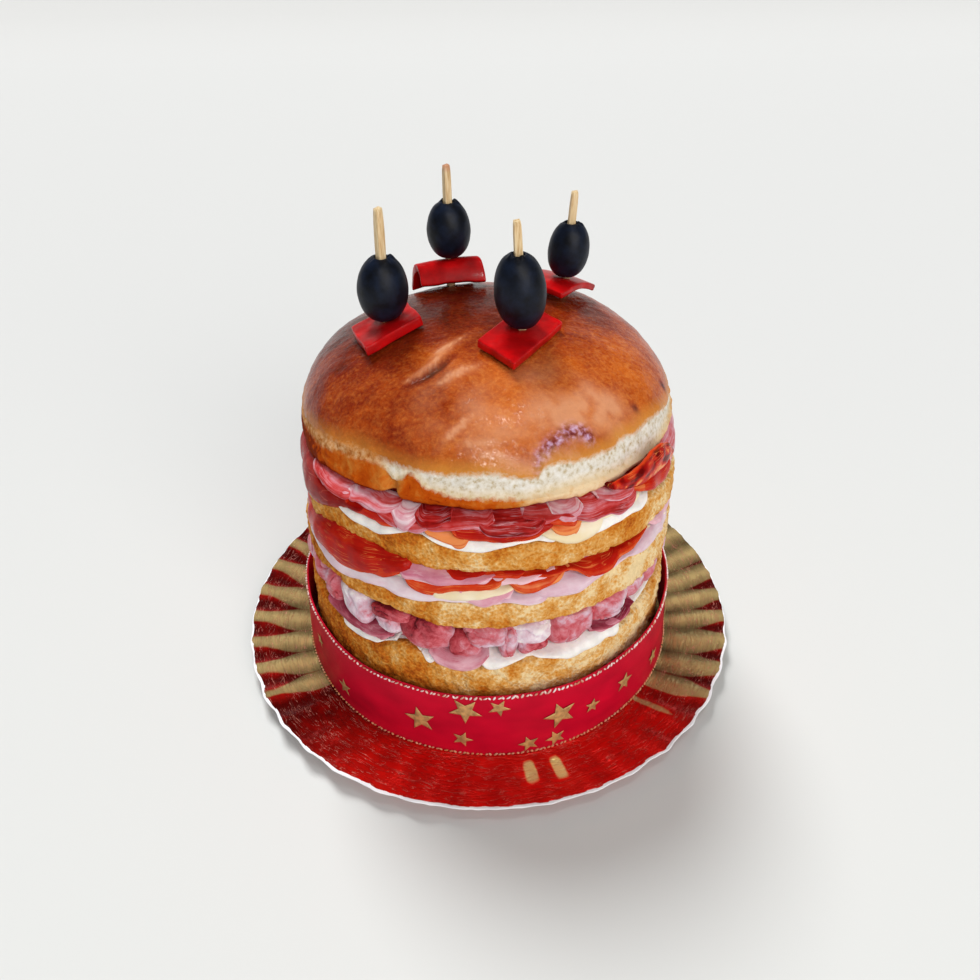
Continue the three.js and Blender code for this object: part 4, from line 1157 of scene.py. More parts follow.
SHEETS = [
    {
        "name": "spread_base", "node": "base_spread", "slot": "soft_spread", "food": "spread", "core": (42.8, 44.1, 69),
        "leaves": [
            ([(-3.5, 45.4), (-2, 42.2), (0, 41.2), (2, 42), (4, 42.8), (7, 43.9), (10, 44.6), (12, 45.2)], 71.8, 46, 1.2),
            ([(11, 45), (14, 43.8), (17, 43.4), (20, 41.6), (23, 39.8), (26, 40.3), (30, 40.1), (34, 39.4), (36, 41.1),
              (40, 39), (43, 43)], 71.9, 45.6, 1.3),
            ([(-50, 44), (-47, 42.8), (-44, 41.2), (-42, 40.9), (-39, 41.4), (-37, 42.4), (-34, 42.6), (-32, 43.8), (-30, 45.4),
              (-28, 46.4)], 71.9, 44.6, 1.2),
            ([(-20, 44), (-17, 41), (-14, 43.6)], 71.8, 44.6, 1.0),
        ],
        "round": [(100, 150, 71.8), (190, 245, 71.8)], "drop": 2.6,
    },
    {
        "name": "ham_base", "node": "base_ham", "slot": "cooked_ham", "food": "ham", "core": (44.4, 46.0, 66),
        "leaves": [
            ([(-58, 45.8), (-52, 44.6), (-45, 43.4), (-40, 43.9), (-36, 45), (-32, 46.2), (-29, 47)], 71.8, 47.4, 1.2, -0.22),
            ([(-17.5, 46.4), (-15.5, 44.6), (-13.5, 42.2), (-10.5, 41.1), (-7.5, 41.2), (-4.5, 42.2), (-2, 44.2), (0, 46.2)],
             72.5, 47, 1.4, 0.14),
            ([(31, 47), (34, 45.8), (38, 44.9), (43, 45), (47, 45.9), (50, 47)], 72.0, 47.2, 1.2, -0.3),
        ],
        "round": [(155, 190, 72.4), (250, 275, 71.8)], "drop": 3.4,
    },
    {
        "name": "ham_middle", "node": "middle_ham", "slot": "pale_ham", "food": "pale_ham", "core": (73.7, 76.1, 69),
        "leaves": [
            ([(-80, 70), (-66, 70), (-62, 70.8), (-58, 71.6), (-54, 72), (-49, 71.1), (-44, 70.1), (-40, 70), (-36, 71.8),
              (-32, 73.2), (-29, 73.3), (-26, 72.8), (-23, 72), (-20, 71.9), (-18, 72.5), (-12, 73.7), (-8, 74),
              (-5, 74), (-2, 75)], [(-80, 68.4), (-66, 70.2), (-58, 71.6), (-50, 72.6)],
             [(-80, 73.6), (-66, 74.4), (-56, 76), (-46, 77.4)], 1.6, 0.1),
            ([(1, 75.4), (3, 74.4), (6, 73.6), (8, 72.7), (11, 71.7), (13, 71.8), (15, 72.6), (17, 74)], 72.8, 76.6, 1.3,
             -0.05),
            ([(12, 74.4), (14, 73.6), (16, 73.4), (19, 72.8), (22, 72.4), (26, 73.2), (28, 74.3), (31, 75.2), (34, 75.4),
              (38, 76), (41, 76.4), (44, 75.3), (49, 73.4), (52, 73), (57, 71.6), (62, 69.6), (68, 68), (76, 67.6), (84, 68.4),
              (90, 70)],
             [(48, 72.6), (60, 71.4), (75, 70.6), (90, 70.2)],
             [(48, 79.4), (60, 78.4), (70, 75.6), (90, 75)], 1.5, 0.0),
        ],
        "round": [(78, 100, 70.9), (120, 170, 72.4), (195, 240, 72.4)], "drop": 3.6,
    },
    {
        "name": "cheese_middle", "node": "middle_cheese", "slot": "sliced_cheese", "food": "cheese",
        "core": (76.4, 78.2, 69),
        "leaves": [
            ([(-16, 76), (-14, 74.5), (-11, 74.4), (-7, 74.6), (-3, 74.9), (0, 76.0), (3, 77.2), (6, 78.4), (9, 80.4)],
             72.6, 80.4, 1.8),
        ],
        "round": [(66, 88, 70.8), (170, 190, 71.4)], "drop": 2.4,
    },
    {
        "name": "salami_middle", "node": "middle_salami", "slot": "salami", "food": "salami", "core": (78.5, 80.8, 68),
        "leaves": [
            ([(-23.5, 81.9), (-22, 80.4), (-21, 78.2), (-19, 76.5), (-17, 75.4), (-15, 75.2), (-13, 75.7), (-11, 77.4),
              (-7, 78.9), (-3, 79.2), (0, 79.7), (3, 80.8), (5, 82.6)], 72.3, 83, 1.3, 0.22),
            ([(5, 81.2), (6, 80), (9, 77.8), (11, 76.9), (13, 77.2), (14, 78.2), (16, 79), (18, 80.1), (20, 81.1),
              (22, 82.4)], 72.6, 82.8, 1.2, 0.3),
            ([(-85, 73), (-72, 73), (-64, 74.6), (-59, 76), (-55, 76.2), (-51, 76), (-47, 75.5), (-43, 74.7),
              (-39, 75.5), (-35, 76.2), (-32, 77.8), (-28, 79.3), (-25, 81.3), (-22, 83.6), (-20, 84.6)],
             [(-85, 68.2), (-70, 69.4), (-62, 71.2), (-54, 72.6), (-45, 73)],
             [(-85, 80.4), (-70, 79.8), (-62, 81), (-54, 83.4), (-46, 86.4)], 1.6, -0.02),
            ([(6, 83.6), (8, 83.2), (13, 82.6), (17, 82.2), (21, 82.0), (24, 80.8), (27, 78.1), (29, 76.8), (32, 76.5),
              (35, 76.4), (36.5, 78.4), (38, 80), (42, 79.8), (47, 80.2), (52, 81)], 72.6, 83.6, 1.4, 0.06),
            ([(-11, 84.2), (-8, 82.6), (-6, 82.5), (-3, 83), (-1, 84), (2, 83.6), (4, 83.8), (8, 83.4), (11, 84)], 71.4,
             85, 1.2, -0.05),
        ],
        "round": [(85, 125, 70.8), (140, 175, 72), (195, 235, 72), (250, 276, 69.9)], "drop": 4.4,
    },
    {
        "name": "pink_ham_middle", "node": "middle_pink_ham", "slot": "cooked_ham", "food": "pink_ham",
        "core": (81.1, 83.5, 68),
        "leaves": [
            ([(-24, 83.4), (-23, 81.9), (-22, 81), (-20, 80.6), (-17, 80.7), (-15, 80.7), (-12, 80.9), (-10, 81.4),
              (-7, 81.8), (-4, 82.4), (-2, 82.9), (0, 83.5), (2, 84)], 72.5, 84.4, 1.3, 0.0),
            ([(1, 83), (2, 81.6), (6, 82.2), (8, 80.8), (11, 81), (13, 81.4), (16, 82.2), (18, 83)], 72.0, 83.6, 1.0, 0.3),
            ([(-9, 79.4), (-7, 77), (-5, 74.6), (-3, 73), (-1, 72.5), (1, 73), (3, 74), (5, 75.8), (7.5, 78.6)], 72.8, 79.8,
             1.2, 0.12),
        ],
        "round": [(54, 76, 70.9), (120, 145, 70.6)], "drop": 3.0,
    },
    {
        "name": "spread_top", "node": "top_spread", "slot": "soft_spread", "food": "spread", "core": (95.8, 97.3, 68),
        "leaves": [
            ([(-45, 99.2), (-42, 98), (-39, 96.9), (-37, 95.9), (-34, 95), (-31, 94.6), (-28, 95.4), (-26, 96.2), (-24, 97.2),
              (-20, 98.8), (-18, 99.6)], 70.8, 99.6, 1.6),
            ([(-18, 99), (-16, 98.8), (-14, 98.1), (-12, 96.5), (-10, 95.6), (-9, 95.1), (-7, 94.5), (-4, 94.3),
              (-2, 94.3), (1, 95.1), (3, 95.7), (6, 96.3), (8, 97.1), (10, 97), (13, 97.2), (16, 96.4), (19, 95.5)],
             71.3, 99.6, 1.8),
            ([(16, 97), (18, 95.6), (22, 94.6), (26, 93.6), (29, 93), (32, 92.9), (35, 93.9), (39, 94.1), (43, 93.4),
              (46, 93.4), (48, 95.1), (50, 96.6), (55, 96.5)], 71.0, 99, 1.8),
        ],
        "round": [(110, 180, 70.4), (205, 240, 70.2)], "drop": 2.6,
    },
    {
        "name": "cheese_top", "node": "top_cheese", "slot": "sliced_cheese", "food": "cheese", "core": (97.6, 99.0, 66),
        "leaves": [
            ([(13, 99.4), (15, 98), (17, 96.5), (20, 94), (23, 92.5), (25, 92.6), (28, 93.2), (30, 95.3), (32, 98)], 71.7,
             101.5, 1.8),
            ([(28, 99), (32, 97.6), (38, 97), (44, 97.4), (49, 99.4)], 70.2, 101, 1.6),
        ],
        "round": [(150, 175, 71)], "drop": 2.6,
    },
    {
        "name": "salami_top", "node": "top_salami", "slot": "salami", "food": "salami", "core": (99.3, 101.6, 66),
        "leaves": [
            ([(-41, 103), (-38, 101.7), (-36, 100.4), (-31, 100.3), (-28, 100.1), (-24, 100.4), (-21, 101.4), (-19, 102.6)],
             70.9, 105.2, 1.4, 0.06),
            ([(-17, 101.8), (-15, 100.2), (-12, 98.4), (-9, 96.8), (-7, 96.3), (-5.5, 97.4), (-4.5, 99.4), (-3, 101.4)], 71.6,
             102.6, 0.9, 0.5),
            ([(-10, 104.4), (-8.5, 102), (-7, 100.6), (-5, 99.8), (-2, 99.6), (0, 99.6), (3, 98.8), (6, 98.3), (9, 98.9),
              (12, 100.1), (14, 101.3), (16, 102.4), (18, 103.4)], 71.9, 105, 1.5, -0.04),
            ([(13.5, 104), (15, 103.6), (18, 102.6), (21, 100.4), (23, 99.6), (24.5, 101.6)], 71.6, 105.4, 1.5, 0.12),
            ([(15, 102.4), (16.5, 100.4), (18, 98.2), (20, 97.0), (22, 97.4), (23.5, 98.6), (25.5, 101)], 71.8, 102.8, 1.0,
             0.46),
            ([(39, 105.2), (42, 103.4), (45, 101.6), (49, 99.2), (53, 97.2), (57, 96.3), (60, 96.8), (62, 98.8), (64, 102)],
             [(39, 71.3), (50, 71.8), (58, 71.4), (64, 70.4)], 105.6, 1.4, 0.04),
        ],
        "round": [(90, 130, 69.4), (185, 235, 71)], "drop": 4.2,
    },
    {
        "name": "cured_ham_top", "node": "top_cured_ham", "slot": "cured_ham", "food": "cured_ham",
        "core": (101.9, 103.4, 62),
        "leaves": [
            ([(-90, 94), (-75, 91.4), (-67, 90.8), (-61, 91.4), (-56, 92.6), (-52, 94), (-48, 95.4), (-44, 97.6),
              (-39, 100.9), (-37, 100.5), (-34, 101.4), (-32, 103)],
             [(-90, 67.4), (-74, 68.2), (-66, 69.4), (-60, 70.8), (-52, 71.4), (-34, 71)],
             [(-90, 98.5), (-72, 99.6), (-62, 102.4), (-54, 105.4)], 1.5, 0.0),
        ],
        "round": [(135, 175, 70.4)], "drop": 4.0,
    },
    {
        "name": "ham_top", "node": "top_ham", "slot": "cooked_ham", "food": "rose_ham", "core": (103.7, 105.7, 60),
        "leaves": [
            ([(-62, 103), (-58, 103.2), (-54, 103.6), (-49, 103.7), (-43, 103.2), (-39, 104), (-36, 105.2)],
             [(-62, 67.4), (-56, 68.8), (-50, 70.4), (-44, 71.2), (-36, 71)],
             [(-62, 103.6), (-54, 105.6), (-46, 106)], 1.2, 0.12),
            ([(-40, 105.4), (-37, 104.2), (-34, 104.8), (-31, 104.5), (-28, 103.8), (-25, 104.4), (-23, 105.4)], 70.8, 106.2,
             1.1, 0.2),
            ([(-31, 105.4), (-29, 104.4), (-27, 102.5), (-25, 101.6), (-23, 100.6), (-21, 100), (-19, 100.2), (-17, 101),
              (-15, 102.2), (-12, 104.2)], 71.3, 106, 1.2, 0.04),
            ([(-25, 105.2), (-24, 103.6), (-22.8, 101.6), (-20.8, 100.7), (-19.2, 101.8), (-17.4, 104.4)], 72.1, 106.2, 0.9,
             0.42),
            ([(-18.5, 105.2), (-16, 103.6), (-12, 104), (-9, 105.2)], 71.9, 106.2, 0.9, -0.14),
            ([(-17, 104.4), (-15, 102.2), (-12, 102.6), (-9, 103.5), (-6, 104), (-3, 104.1), (0, 103.6), (2, 105)], 71.6, 106,
             1.4, 0.08),
            ([(-3, 105), (-1, 102.9), (1, 101.5), (4, 100.9), (7, 100.6), (10, 100.7), (12, 101.6), (14, 103.4), (15.5, 105)],
             72.1, 106, 1.3, -0.12),
            ([(9, 105.4), (12, 104.9), (15, 104.6), (18, 104.3), (20, 103.8), (23, 102.4), (25, 101.2), (27, 99.8),
              (29, 98.9), (31, 99.3), (33, 99.6), (36, 98.2), (39, 97.6), (41.5, 97.9), (43, 100), (44.5, 103)], 71.5, 106,
             1.2, 0.02),
            ([(16.5, 105.2), (18.5, 103.9), (21, 102.8), (23.5, 103.6), (25.5, 105.2)], 72.1, 106.2, 0.8, 0.36),
            ([(30, 106), (33, 105), (36.5, 103.6), (40, 103.2), (43, 105)], 71.4, 106.6, 1.0, 0.3),
            ([(57, 102), (60, 98.6), (64, 96.2), (70, 94.6), (78, 94.4), (86, 96), (92, 99)],
             [(57, 70.2), (68, 69.8), (92, 69.2)], 105.4, 1.0, 0.3),
        ],
        "round": [(96, 124, 69.2), (190, 240, 70.8)], "drop": 4.4,
    },
]


def build_leaf(sizes, name, edge, reach, root, thick, seed, tone=0.0):
    """One hanging slice, bent over the bread's rim from a flat grid."""
    start, stop = edge[0][0], edge[-1][0]
    columns = max(8, round((stop - start) / 0.9))
    rows = 10
    piece = begin(name, "grid", x_subdivisions=columns, y_subdivisions=rows, size=2)
    flat = np.array([v.co for v in piece.data.vertices])
    azimuth = start + (flat[:, 0] + 1) / 2 * (stop - start)
    share = (1 - flat[:, 1]) / 2
    rng = np.random.default_rng(seed)
    nudge = np.interp(azimuth, *zip(*edge))
    reach, root = (np.interp(azimuth, *zip(*part)) if isinstance(part, list) else part for part in (reach, root))
    hold = 61.0
    top = root - fall_at(root) * reach * np.sin(np.radians(azimuth))
    top = np.maximum(top, nudge + 0.4)
    hang = top - nudge
    ends = smooth(np.minimum(azimuth - start, stop - azimuth) / 2.2)
    out = reach - 2.2 * (1 - smooth(hang / 2.6) * ends)
    bow = share * math.pi / 2
    squareness = 2 / 3.0
    radius = hold + (out - hold) * np.sin(bow) ** squareness
    z = nudge + hang * np.cos(bow) ** squareness
    angle = np.radians(azimuth)
    spot = np.stack([radius * np.sin(angle), -radius * np.cos(angle), z], axis=1)
    across = (1 - share) * (hang + out - hold)
    lay = np.stack([angle * 70 + rng.uniform(0, 60), across, np.full(len(spot), rng.uniform(0, 40))], axis=1)
    pleat = wander(lay * [1, 0.3, 1], 8.5, 3, 2)
    loose = smooth((share - 0.3) / 0.55)
    radius = radius + loose * (sizes.pleat / MM * pleat + 0.12 * wander(spot, 3, 190 + seed % 11, 2))
    z = z + loose * 0.6 * wander(lay * [1, 0.3, 1], 6, 5, 2)
    move_points(piece, np.stack([radius * np.sin(angle), -radius * np.cos(angle), z], axis=1))
    note(piece, "lay", lay)
    note(piece, "tone", np.full(len(spot), tone))
    modified(piece, "SOLIDIFY", thickness=thick * MM, offset=-1.0, use_rim=True)
    subdivided(piece, 1)
    return piece


def build_sheet(sizes, sheet, seed):
    """One food's sheets in a filling: a disc through the loaf, and the slices that hang out of it."""
    low, high, inside = sheet["core"]
    middle = (low + high) / 2
    rings = [(20, low), (50, low), (inside - 1.2, low), (inside - 0.3, middle - 0.4), (inside - 0.3, middle + 0.4)]
    rings += [(inside - 1.2, high), (50, high), (20, high)]
    core = pulled(sheet["name"] + "_core", 96, rings)
    points = points_of(core)
    azimuth = azimuth_of(points)
    reach = np.hypot(points[:, 0], points[:, 1])
    sink = sag_at(points[:, 2], azimuth) * smooth((reach - 50) / 12)
    points[:, 2] += sink - fall_at(points[:, 2]) * points[:, 0]
    move_points(core, points)
    note(core, "lay", np.stack([np.radians(azimuth) * 70, 72 - reach, reach * 0], axis=1))
    note(core, "tone", reach * 0)
    capped(core)
    pieces = [core]
    for index, leaf in enumerate(sheet["leaves"]):
        edge, reach, root, thick = leaf[:4]
        pieces.append(build_leaf(sizes, f"{sheet['name']}_{index}", edge, reach, root, thick, seed * 31 + index, *leaf[4:]))
        if sheet["food"] in ("spread", "cheese", "pale_ham"):
            continue
        # A second slice shows as a thin pale line under the first
        ends = len(edge) - 1
        peep = [(a, z + (0.3 if i in (0, ends) else -0.75 - 0.5 * math.sin(1.3 * i + seed))) for i, (a, z) in enumerate(edge)]
        under = [(a, r - 0.6) for a, r in reach] if isinstance(reach, list) else reach - 0.6
        tone = (leaf[4] if len(leaf) > 4 else 0.0) + 0.18
        pieces.append(build_leaf(sizes, f"{sheet['name']}_{index}_under", peep, under, root, thick * 0.6, seed * 53 + index, tone))
    rng = np.random.default_rng(seed + 500)
    for start, stop, reach in sheet["round"]:
        count = max(5, round((stop - start) / 4))
        places = np.linspace(start, stop, count)
        sink = sag_at(middle, places)
        tilt = middle - fall_at(middle) * 71 * np.sin(np.radians(places)) + sink
        depth = sheet["drop"] * np.sin(np.linspace(0, math.pi, count)) ** 0.5 * rng.uniform(0.6, 1.1, count)
        edge = [(float(a), float(t - d)) for a, t, d in zip(places, tilt, depth)]
        tone = rng.uniform(-0.15, 0.2)
        root = [(float(a), float(high + 0.8 + d)) for a, d in zip(places, sink)]
        pieces.append(build_leaf(sizes, f"{sheet['name']}_far_{start}", edge, reach, root, 1.3, seed * 31 + start, tone))
    return joined(pieces, sheet["name"])


HEAP = [  # azimuth, height, half sizes along, up and out, how pale, where it is paler (degrees from right) and how much
    (-67, 52.5, 8, 8.5, 6, 0.4, 90, 0.1),
    (-54.5, 53, 4.6, 8.6, 6, 0.48, 180, 0.15),
    (-43, 54.4, 8.4, 9.0, 7.6, 0.76, 140, 0.22),
    (-30.5, 52.8, 6.8, 4.3, 6.2, 0.74, 240, 0.2),
    (-29.5, 58.4, 7, 3, 3.4, 0.14, 0, 0.1),
    (-17.5, 53.2, 9.4, 8.8, 8, 0.32, -50, 0.42),
    (-7.2, 50.2, 5.2, 5.2, 5.4, 0.3, 20, 0.25),
    (-1.2, 55.2, 7.8, 5.8, 7.2, 0.56, -70, 0.34),
    (5.6, 51, 3.6, 6.6, 5.8, 0.5, 60, 0.2),
    (13.4, 55.2, 8.6, 5.2, 7.6, 0.84, 0, 0.06),
    (12.4, 49.4, 6, 3.6, 5.4, 0.36, 180, 0.2),
    (24, 53.4, 9.0, 8.4, 8, 0.44, 60, 0.26),
    (38, 54, 9.8, 8, 7.8, 0.62, -25, 0.42),
    (50, 55, 6.6, 7, 6.8, 0.52, 90, 0.2),
    (62, 54, 7.6, 8.4, 6, 0.5, 0, 0.16),
]


def build_heap(sizes):
    """The heap of torn meat: rounded chunks with folds and clefts over a core, each paler on one side."""
    core = pulled("heap_core", 96, [(20, 46.4), (58, 46.4), (60, 48), (60.5, 53), (60, 59), (58, 60.4), (20, 60.4)])
    rng = np.random.default_rng(11)
    places = list(HEAP)
    azimuth = 77.0
    while azimuth < 283:
        half = rng.uniform(4.5, 11)
        turn, pale = rng.uniform(-180, 180), rng.uniform(0.3, 0.8)
        tall = rng.uniform(4.4, 8.8)
        places.append((azimuth, 53.5 + rng.uniform(-2.4, 1.4), half, tall, rng.uniform(5.4, 7.6), pale, turn, rng.uniform(0.1, 0.4)))
        azimuth += half * 1.35
    note(core, "fold", np.zeros(len(core.data.vertices)))
    note(core, "pale", np.full(len(core.data.vertices), 0.1))
    capped(core)
    pieces = [core]
    for index, (middle, height, wide, tall, deep, pale, turn, much) in enumerate(places):
        chunk = begin(f"chunk_{index}", "ico_sphere", subdivisions=5, radius=1.0)
        ball = np.array([v.co for v in chunk.data.vertices])
        spin = rng.uniform(0, math.pi)
        axis = np.array([math.cos(spin), 0.4, math.sin(spin)])
        swirl = (ball @ axis) * 5.5 + 2.4 * wander(ball, 1.1, 300 + index, 2)
        lay = np.sin(swirl)
        cleft = np.abs(wander(ball, 1.1, 400 + index, 2))
        crack = np.exp(-((cleft / 0.05) ** 2))
        size = 1 + 0.3 * wander(ball, 1.3, 500 + index, 2) + 0.045 * lay - 0.14 * crack
        size += 0.02 * wander(ball, 0.28, 600 + index, 2)
        body = ball * size[:, None]
        body = np.sign(body) * np.abs(body) ** 0.84
        angle = math.radians(middle)
        out = 71.4 - deep - body[:, 1] * deep
        turn_to = angle + body[:, 0] * wide / 66
        z = height + body[:, 2] * tall
        ceiling = 61.5 - fall_at(60.9) * out * np.sin(turn_to)
        z = np.clip(z, 45.6 + 0.4 * np.sin(ball[:, 0] * 5), ceiling)
        move_points(chunk, np.stack([out * np.sin(turn_to), -out * np.cos(turn_to), z], axis=1))
        side = math.radians(turn)
        lean = ball[:, 0] * math.cos(side) + ball[:, 2] * math.sin(side)
        # Painted shade: the clefts are darkened
        note(chunk, "fold", 0.4 * lay - 1.2 * crack)
        # Each chunk is paler on one side; its top is darker, which is painted shade under the bread slice above
        note(chunk, "pale", pale + much * smooth((lean + 0.5) / 1.3) - much * 0.5 - 0.22 * smooth((ball[:, 2] - 0.5) * 2))
        pieces.append(chunk)
    return joined(pieces, "torn_meat")


FLAP_TOP = [(33.5, 110.2), (38, 110.6), (41.6, 111.4), (46.1, 112.6), (49.4, 113.4), (54.3, 113.2), (59, 110.6), (63, 105.5)]
FLAP_FOOT = [(33.5, 108.9), (38, 106), (45, 102.6), (50, 101.8), (58, 101.4), (63, 102.6)]


def build_flap(sizes):
    """The salami that stands up against the torn ring at the right."""
    piece = begin("salami_flap", "grid", x_subdivisions=34, y_subdivisions=26, size=2)
    flat = np.array([v.co for v in piece.data.vertices])
    share = (1 - flat[:, 1]) / 2
    azimuth = FLAP_TOP[0][0] + (flat[:, 0] + 1) / 2 * (FLAP_TOP[-1][0] - FLAP_TOP[0][0])
    angle = np.radians(azimuth)
    foot = np.interp(azimuth, *zip(*FLAP_FOOT))
    top = np.interp(azimuth, *zip(*FLAP_TOP))
    radius = np.interp(share, [0, 0.25, 0.4, 0.55, 0.8, 1], [63, 67.6, 69.4, 70.4, 70.8, 69.4])
    z = foot + (top - foot) * np.interp(share, [0, 0.25, 0.4, 0.55, 1], [0.1, 0.0, 0.06, 0.26, 1])
    spot = np.stack([radius * np.sin(angle), -radius * np.cos(angle), z], axis=1)
    free = smooth(share * 2 - 0.6)
    radius = radius + 0.7 * wander(spot, 6, 601, 2) * free
    z = z + 0.35 * wander(spot, 2.6, 602, 2) * smooth((share - 0.8) * 5)
    move_points(piece, np.stack([radius * np.sin(angle), -radius * np.cos(angle), z], axis=1))
    note(piece, "lay", np.stack([azimuth * 1.2, (1 - share) * 17, share * 0 + 7], axis=1))
    note(piece, "tone", 0.9 * wander(spot, 3.2, 603, 3) - 0.12 + 0.25 * smooth((azimuth - 50) / 12))
    modified(piece, "SOLIDIFY", thickness=1.4 * MM, offset=0.0)
    subdivided(piece, 1)
    return piece


# Picks

PICKS = [
    {
        "name": "front", "at": (12.5, -15.2), "turn": 8, "lean": -0.055, "stick_top": 177.0, "olive": (16.9, 24.6),
        "pepper": {"middle": (-0.4, -1.6), "along": (5.8, -6.2), "across": (8.4, 12.5), "thick": 3.0, "stiff": 0.8,
                   "arch": 0.0, "tip": 0.0, "lift": 0.0},
    },
    {
        "name": "left", "at": (-33.2, -3.4), "turn": 42, "lean": 0.03, "stick_top": 177.6, "olive": (17.1, 21.8),
        "pepper": {"middle": (0.1, -1.1), "along": (3.4, -9.0), "across": (9.0, 6.5), "thick": 3.4, "stiff": 0.9,
                   "arch": 0.0, "tip": 0.0, "lift": 0.0},
    },
    {
        "name": "back", "at": (-12.1, 38.0), "turn": 30, "lean": 0.0, "stick_top": 179.0, "olive": (16.3, 20.6),
        "pepper": {"middle": (-1.2, 0.0), "along": (12.1, 0.0), "across": (-2.6, 8.6), "thick": 3.0, "stiff": 0.0,
                   "arch": 7.6, "tip": -0.7, "lift": 0.0},
    },
    {
        "name": "right", "at": (30.2, 24.0), "turn": 5, "lean": 0.06, "stick_top": 173.4, "olive": (14.9, 19.6),
        "pepper": {"middle": (-3.4, 0.0), "along": (8.1, -6.0), "across": (7.1, 8.7), "thick": 2.4, "stiff": 0.45,
                   "arch": 1.4, "tip": 0.0, "lift": 2.2},
    },
]
STICK_DEPTH = 24.0


def under_pepper(pick, s, t):
    """The underside of a piece of pepper, s and t sides from its middle."""
    part = pick["pepper"]
    mid_x, mid_y = pick["at"][0] + part["middle"][0], pick["at"][1] + part["middle"][1]
    x = mid_x + s * part["along"][0] + t * part["across"][0]
    y = mid_y + s * part["along"][1] + t * part["across"][1]
    slope_x = (crown_height(mid_x + 1, mid_y) - crown_height(mid_x - 1, mid_y)) / 2
    slope_y = (crown_height(mid_x, mid_y + 1) - crown_height(mid_x, mid_y - 1)) / 2
    level = crown_height(mid_x, mid_y) + slope_x * (x - mid_x) + slope_y * (y - mid_y)
    lying = crown_height(x, y) * (1 - part["stiff"]) + level * part["stiff"]
    standing = part["lift"] + part["arch"] * (1 - t * t) + part["tip"] * np.maximum(-t, 0)
    return np.stack([x, y, lying + standing + CAP_LIFT + 0.3], axis=-1)


def seat_of(pick):
    """The height of a pepper's upper side at its stick."""
    part = pick["pepper"]
    away = (-part["middle"][0], -part["middle"][1])
    cross = lambda a, b: a[0] * b[1] - a[1] * b[0]
    s = cross(away, part["across"]) / cross(part["along"], part["across"])
    t = cross(part["along"], away) / cross(part["along"], part["across"])
    return float(under_pepper(pick, np.array(s), np.array(t))[2]) + part["thick"]


def leaned(points, pick):
    points = points.copy()
    points[:, 0] += pick["at"][0] + pick["lean"] * (points[:, 2] - seat_of(pick))
    points[:, 1] += pick["at"][1]
    return points


def build_stick(sizes, pick):
    """A split square stick with worn edges and a cut top."""
    foot = float(crown_height(*pick["at"])) - STICK_DEPTH
    piece = begin("birch_stick_" + pick["name"], "cube", size=1)
    bpy.ops.object.mode_set(mode="EDIT")
    bpy.ops.mesh.select_all(action="SELECT")
    bpy.ops.mesh.bevel(offset=0.13, segments=3, affect="EDGES")
    bpy.ops.object.mode_set(mode="OBJECT")
    box = np.array([v.co for v in piece.data.vertices])
    half_way = box[:, 2] * 2
    box[:, 0] *= 2.6
    box[:, 1] *= 2.6
    box[:, 2] = np.sign(half_way) * np.minimum(np.abs(half_way), 1)
    height = pick["stick_top"] - foot
    box[:, 2] = foot + (box[:, 2] + 1) / 2 * height
    move_points(piece, box)
    bpy.context.view_layer.objects.active = piece
    bpy.ops.object.mode_set(mode="EDIT")
    for level in range(1, 30):
        bpy.ops.mesh.select_all(action="SELECT")
        bpy.ops.mesh.bisect(plane_co=(0, 0, (foot + CARD + height * level / 30) * MM), plane_no=(0, 0, 1))
    bpy.ops.object.mode_set(mode="OBJECT")
    points = points_of(piece)
    spin = math.radians(pick["turn"])
    worn = 1 + 0.05 * wander(points * [0.2, 0.2, 1], 9, 700 + pick["turn"], 2)
    x = (points[:, 0] * math.cos(spin) - points[:, 1] * math.sin(spin)) * worn
    y = (points[:, 0] * math.sin(spin) + points[:, 1] * math.cos(spin)) * worn
    points[:, 0], points[:, 1] = x, y
    points[:, 2] += np.where(points[:, 2] > pick["stick_top"] - 2, 0.12 * x + 0.2 * y, 0) * 0.8
    note(piece, "tip", smooth((points[:, 2] - pick["stick_top"] + 2.5) / 2) * (1.0 if pick["name"] == "back" else 0.0))
    move_points(piece, leaned(points, pick))
    return piece


def build_olive(sizes, pick):
    """A pitted olive: an egg with a torn rim round the hole that the stick goes through."""
    wide, tall = pick["olive"]
    foot = seat_of(pick) + 0.5
    bore = 1.9
    start = math.asin(2 * bore / wide)
    rows = 16
    rings = []
    for i in range(rows + 1):
        angle = start + (math.pi - 2 * start) * i / rows
        plump = wide / 2 * (1 + 0.04 * math.cos(angle))
        rings.append((plump * math.sin(angle) ** 0.86, foot + tall / 2 * (1 - math.cos(angle) / math.cos(start))))
    top = rings[-1][1]
    rings[0] = (bore, foot)
    rings[-1] = (bore + 0.5, top + 0.15)
    rings += [(bore, top - 0.6), (bore - 0.1, top - 3), (bore - 0.1, foot + 3), (bore, foot)]
    piece = pulled("olive_" + pick["name"] + "_skin", 32, rings, 2)
    points = points_of(piece)
    angle = np.arctan2(points[:, 1], points[:, 0])
    seed = 800 + pick["turn"]
    rim = smooth((points[:, 2] - top + 2.2) / 2.2)
    lobes = np.clip(np.sin(3 * angle + seed), 0, 1) + 0.6 * np.clip(np.sin(5 * angle + 2 * seed), 0, 1)
    points[:, 2] += rim * (0.7 * lobes * np.clip(0.4 + wander(points, 5, seed + 3, 2) * 2, 0, 1) - 0.3)
    dents = 1 + 0.018 * wander(points, 9, seed, 2) + 0.006 * wander(points, 2.5, seed, 2)
    points[:, 0] *= dents
    points[:, 1] *= dents
    move_points(piece, leaned(points, pick))
    return piece


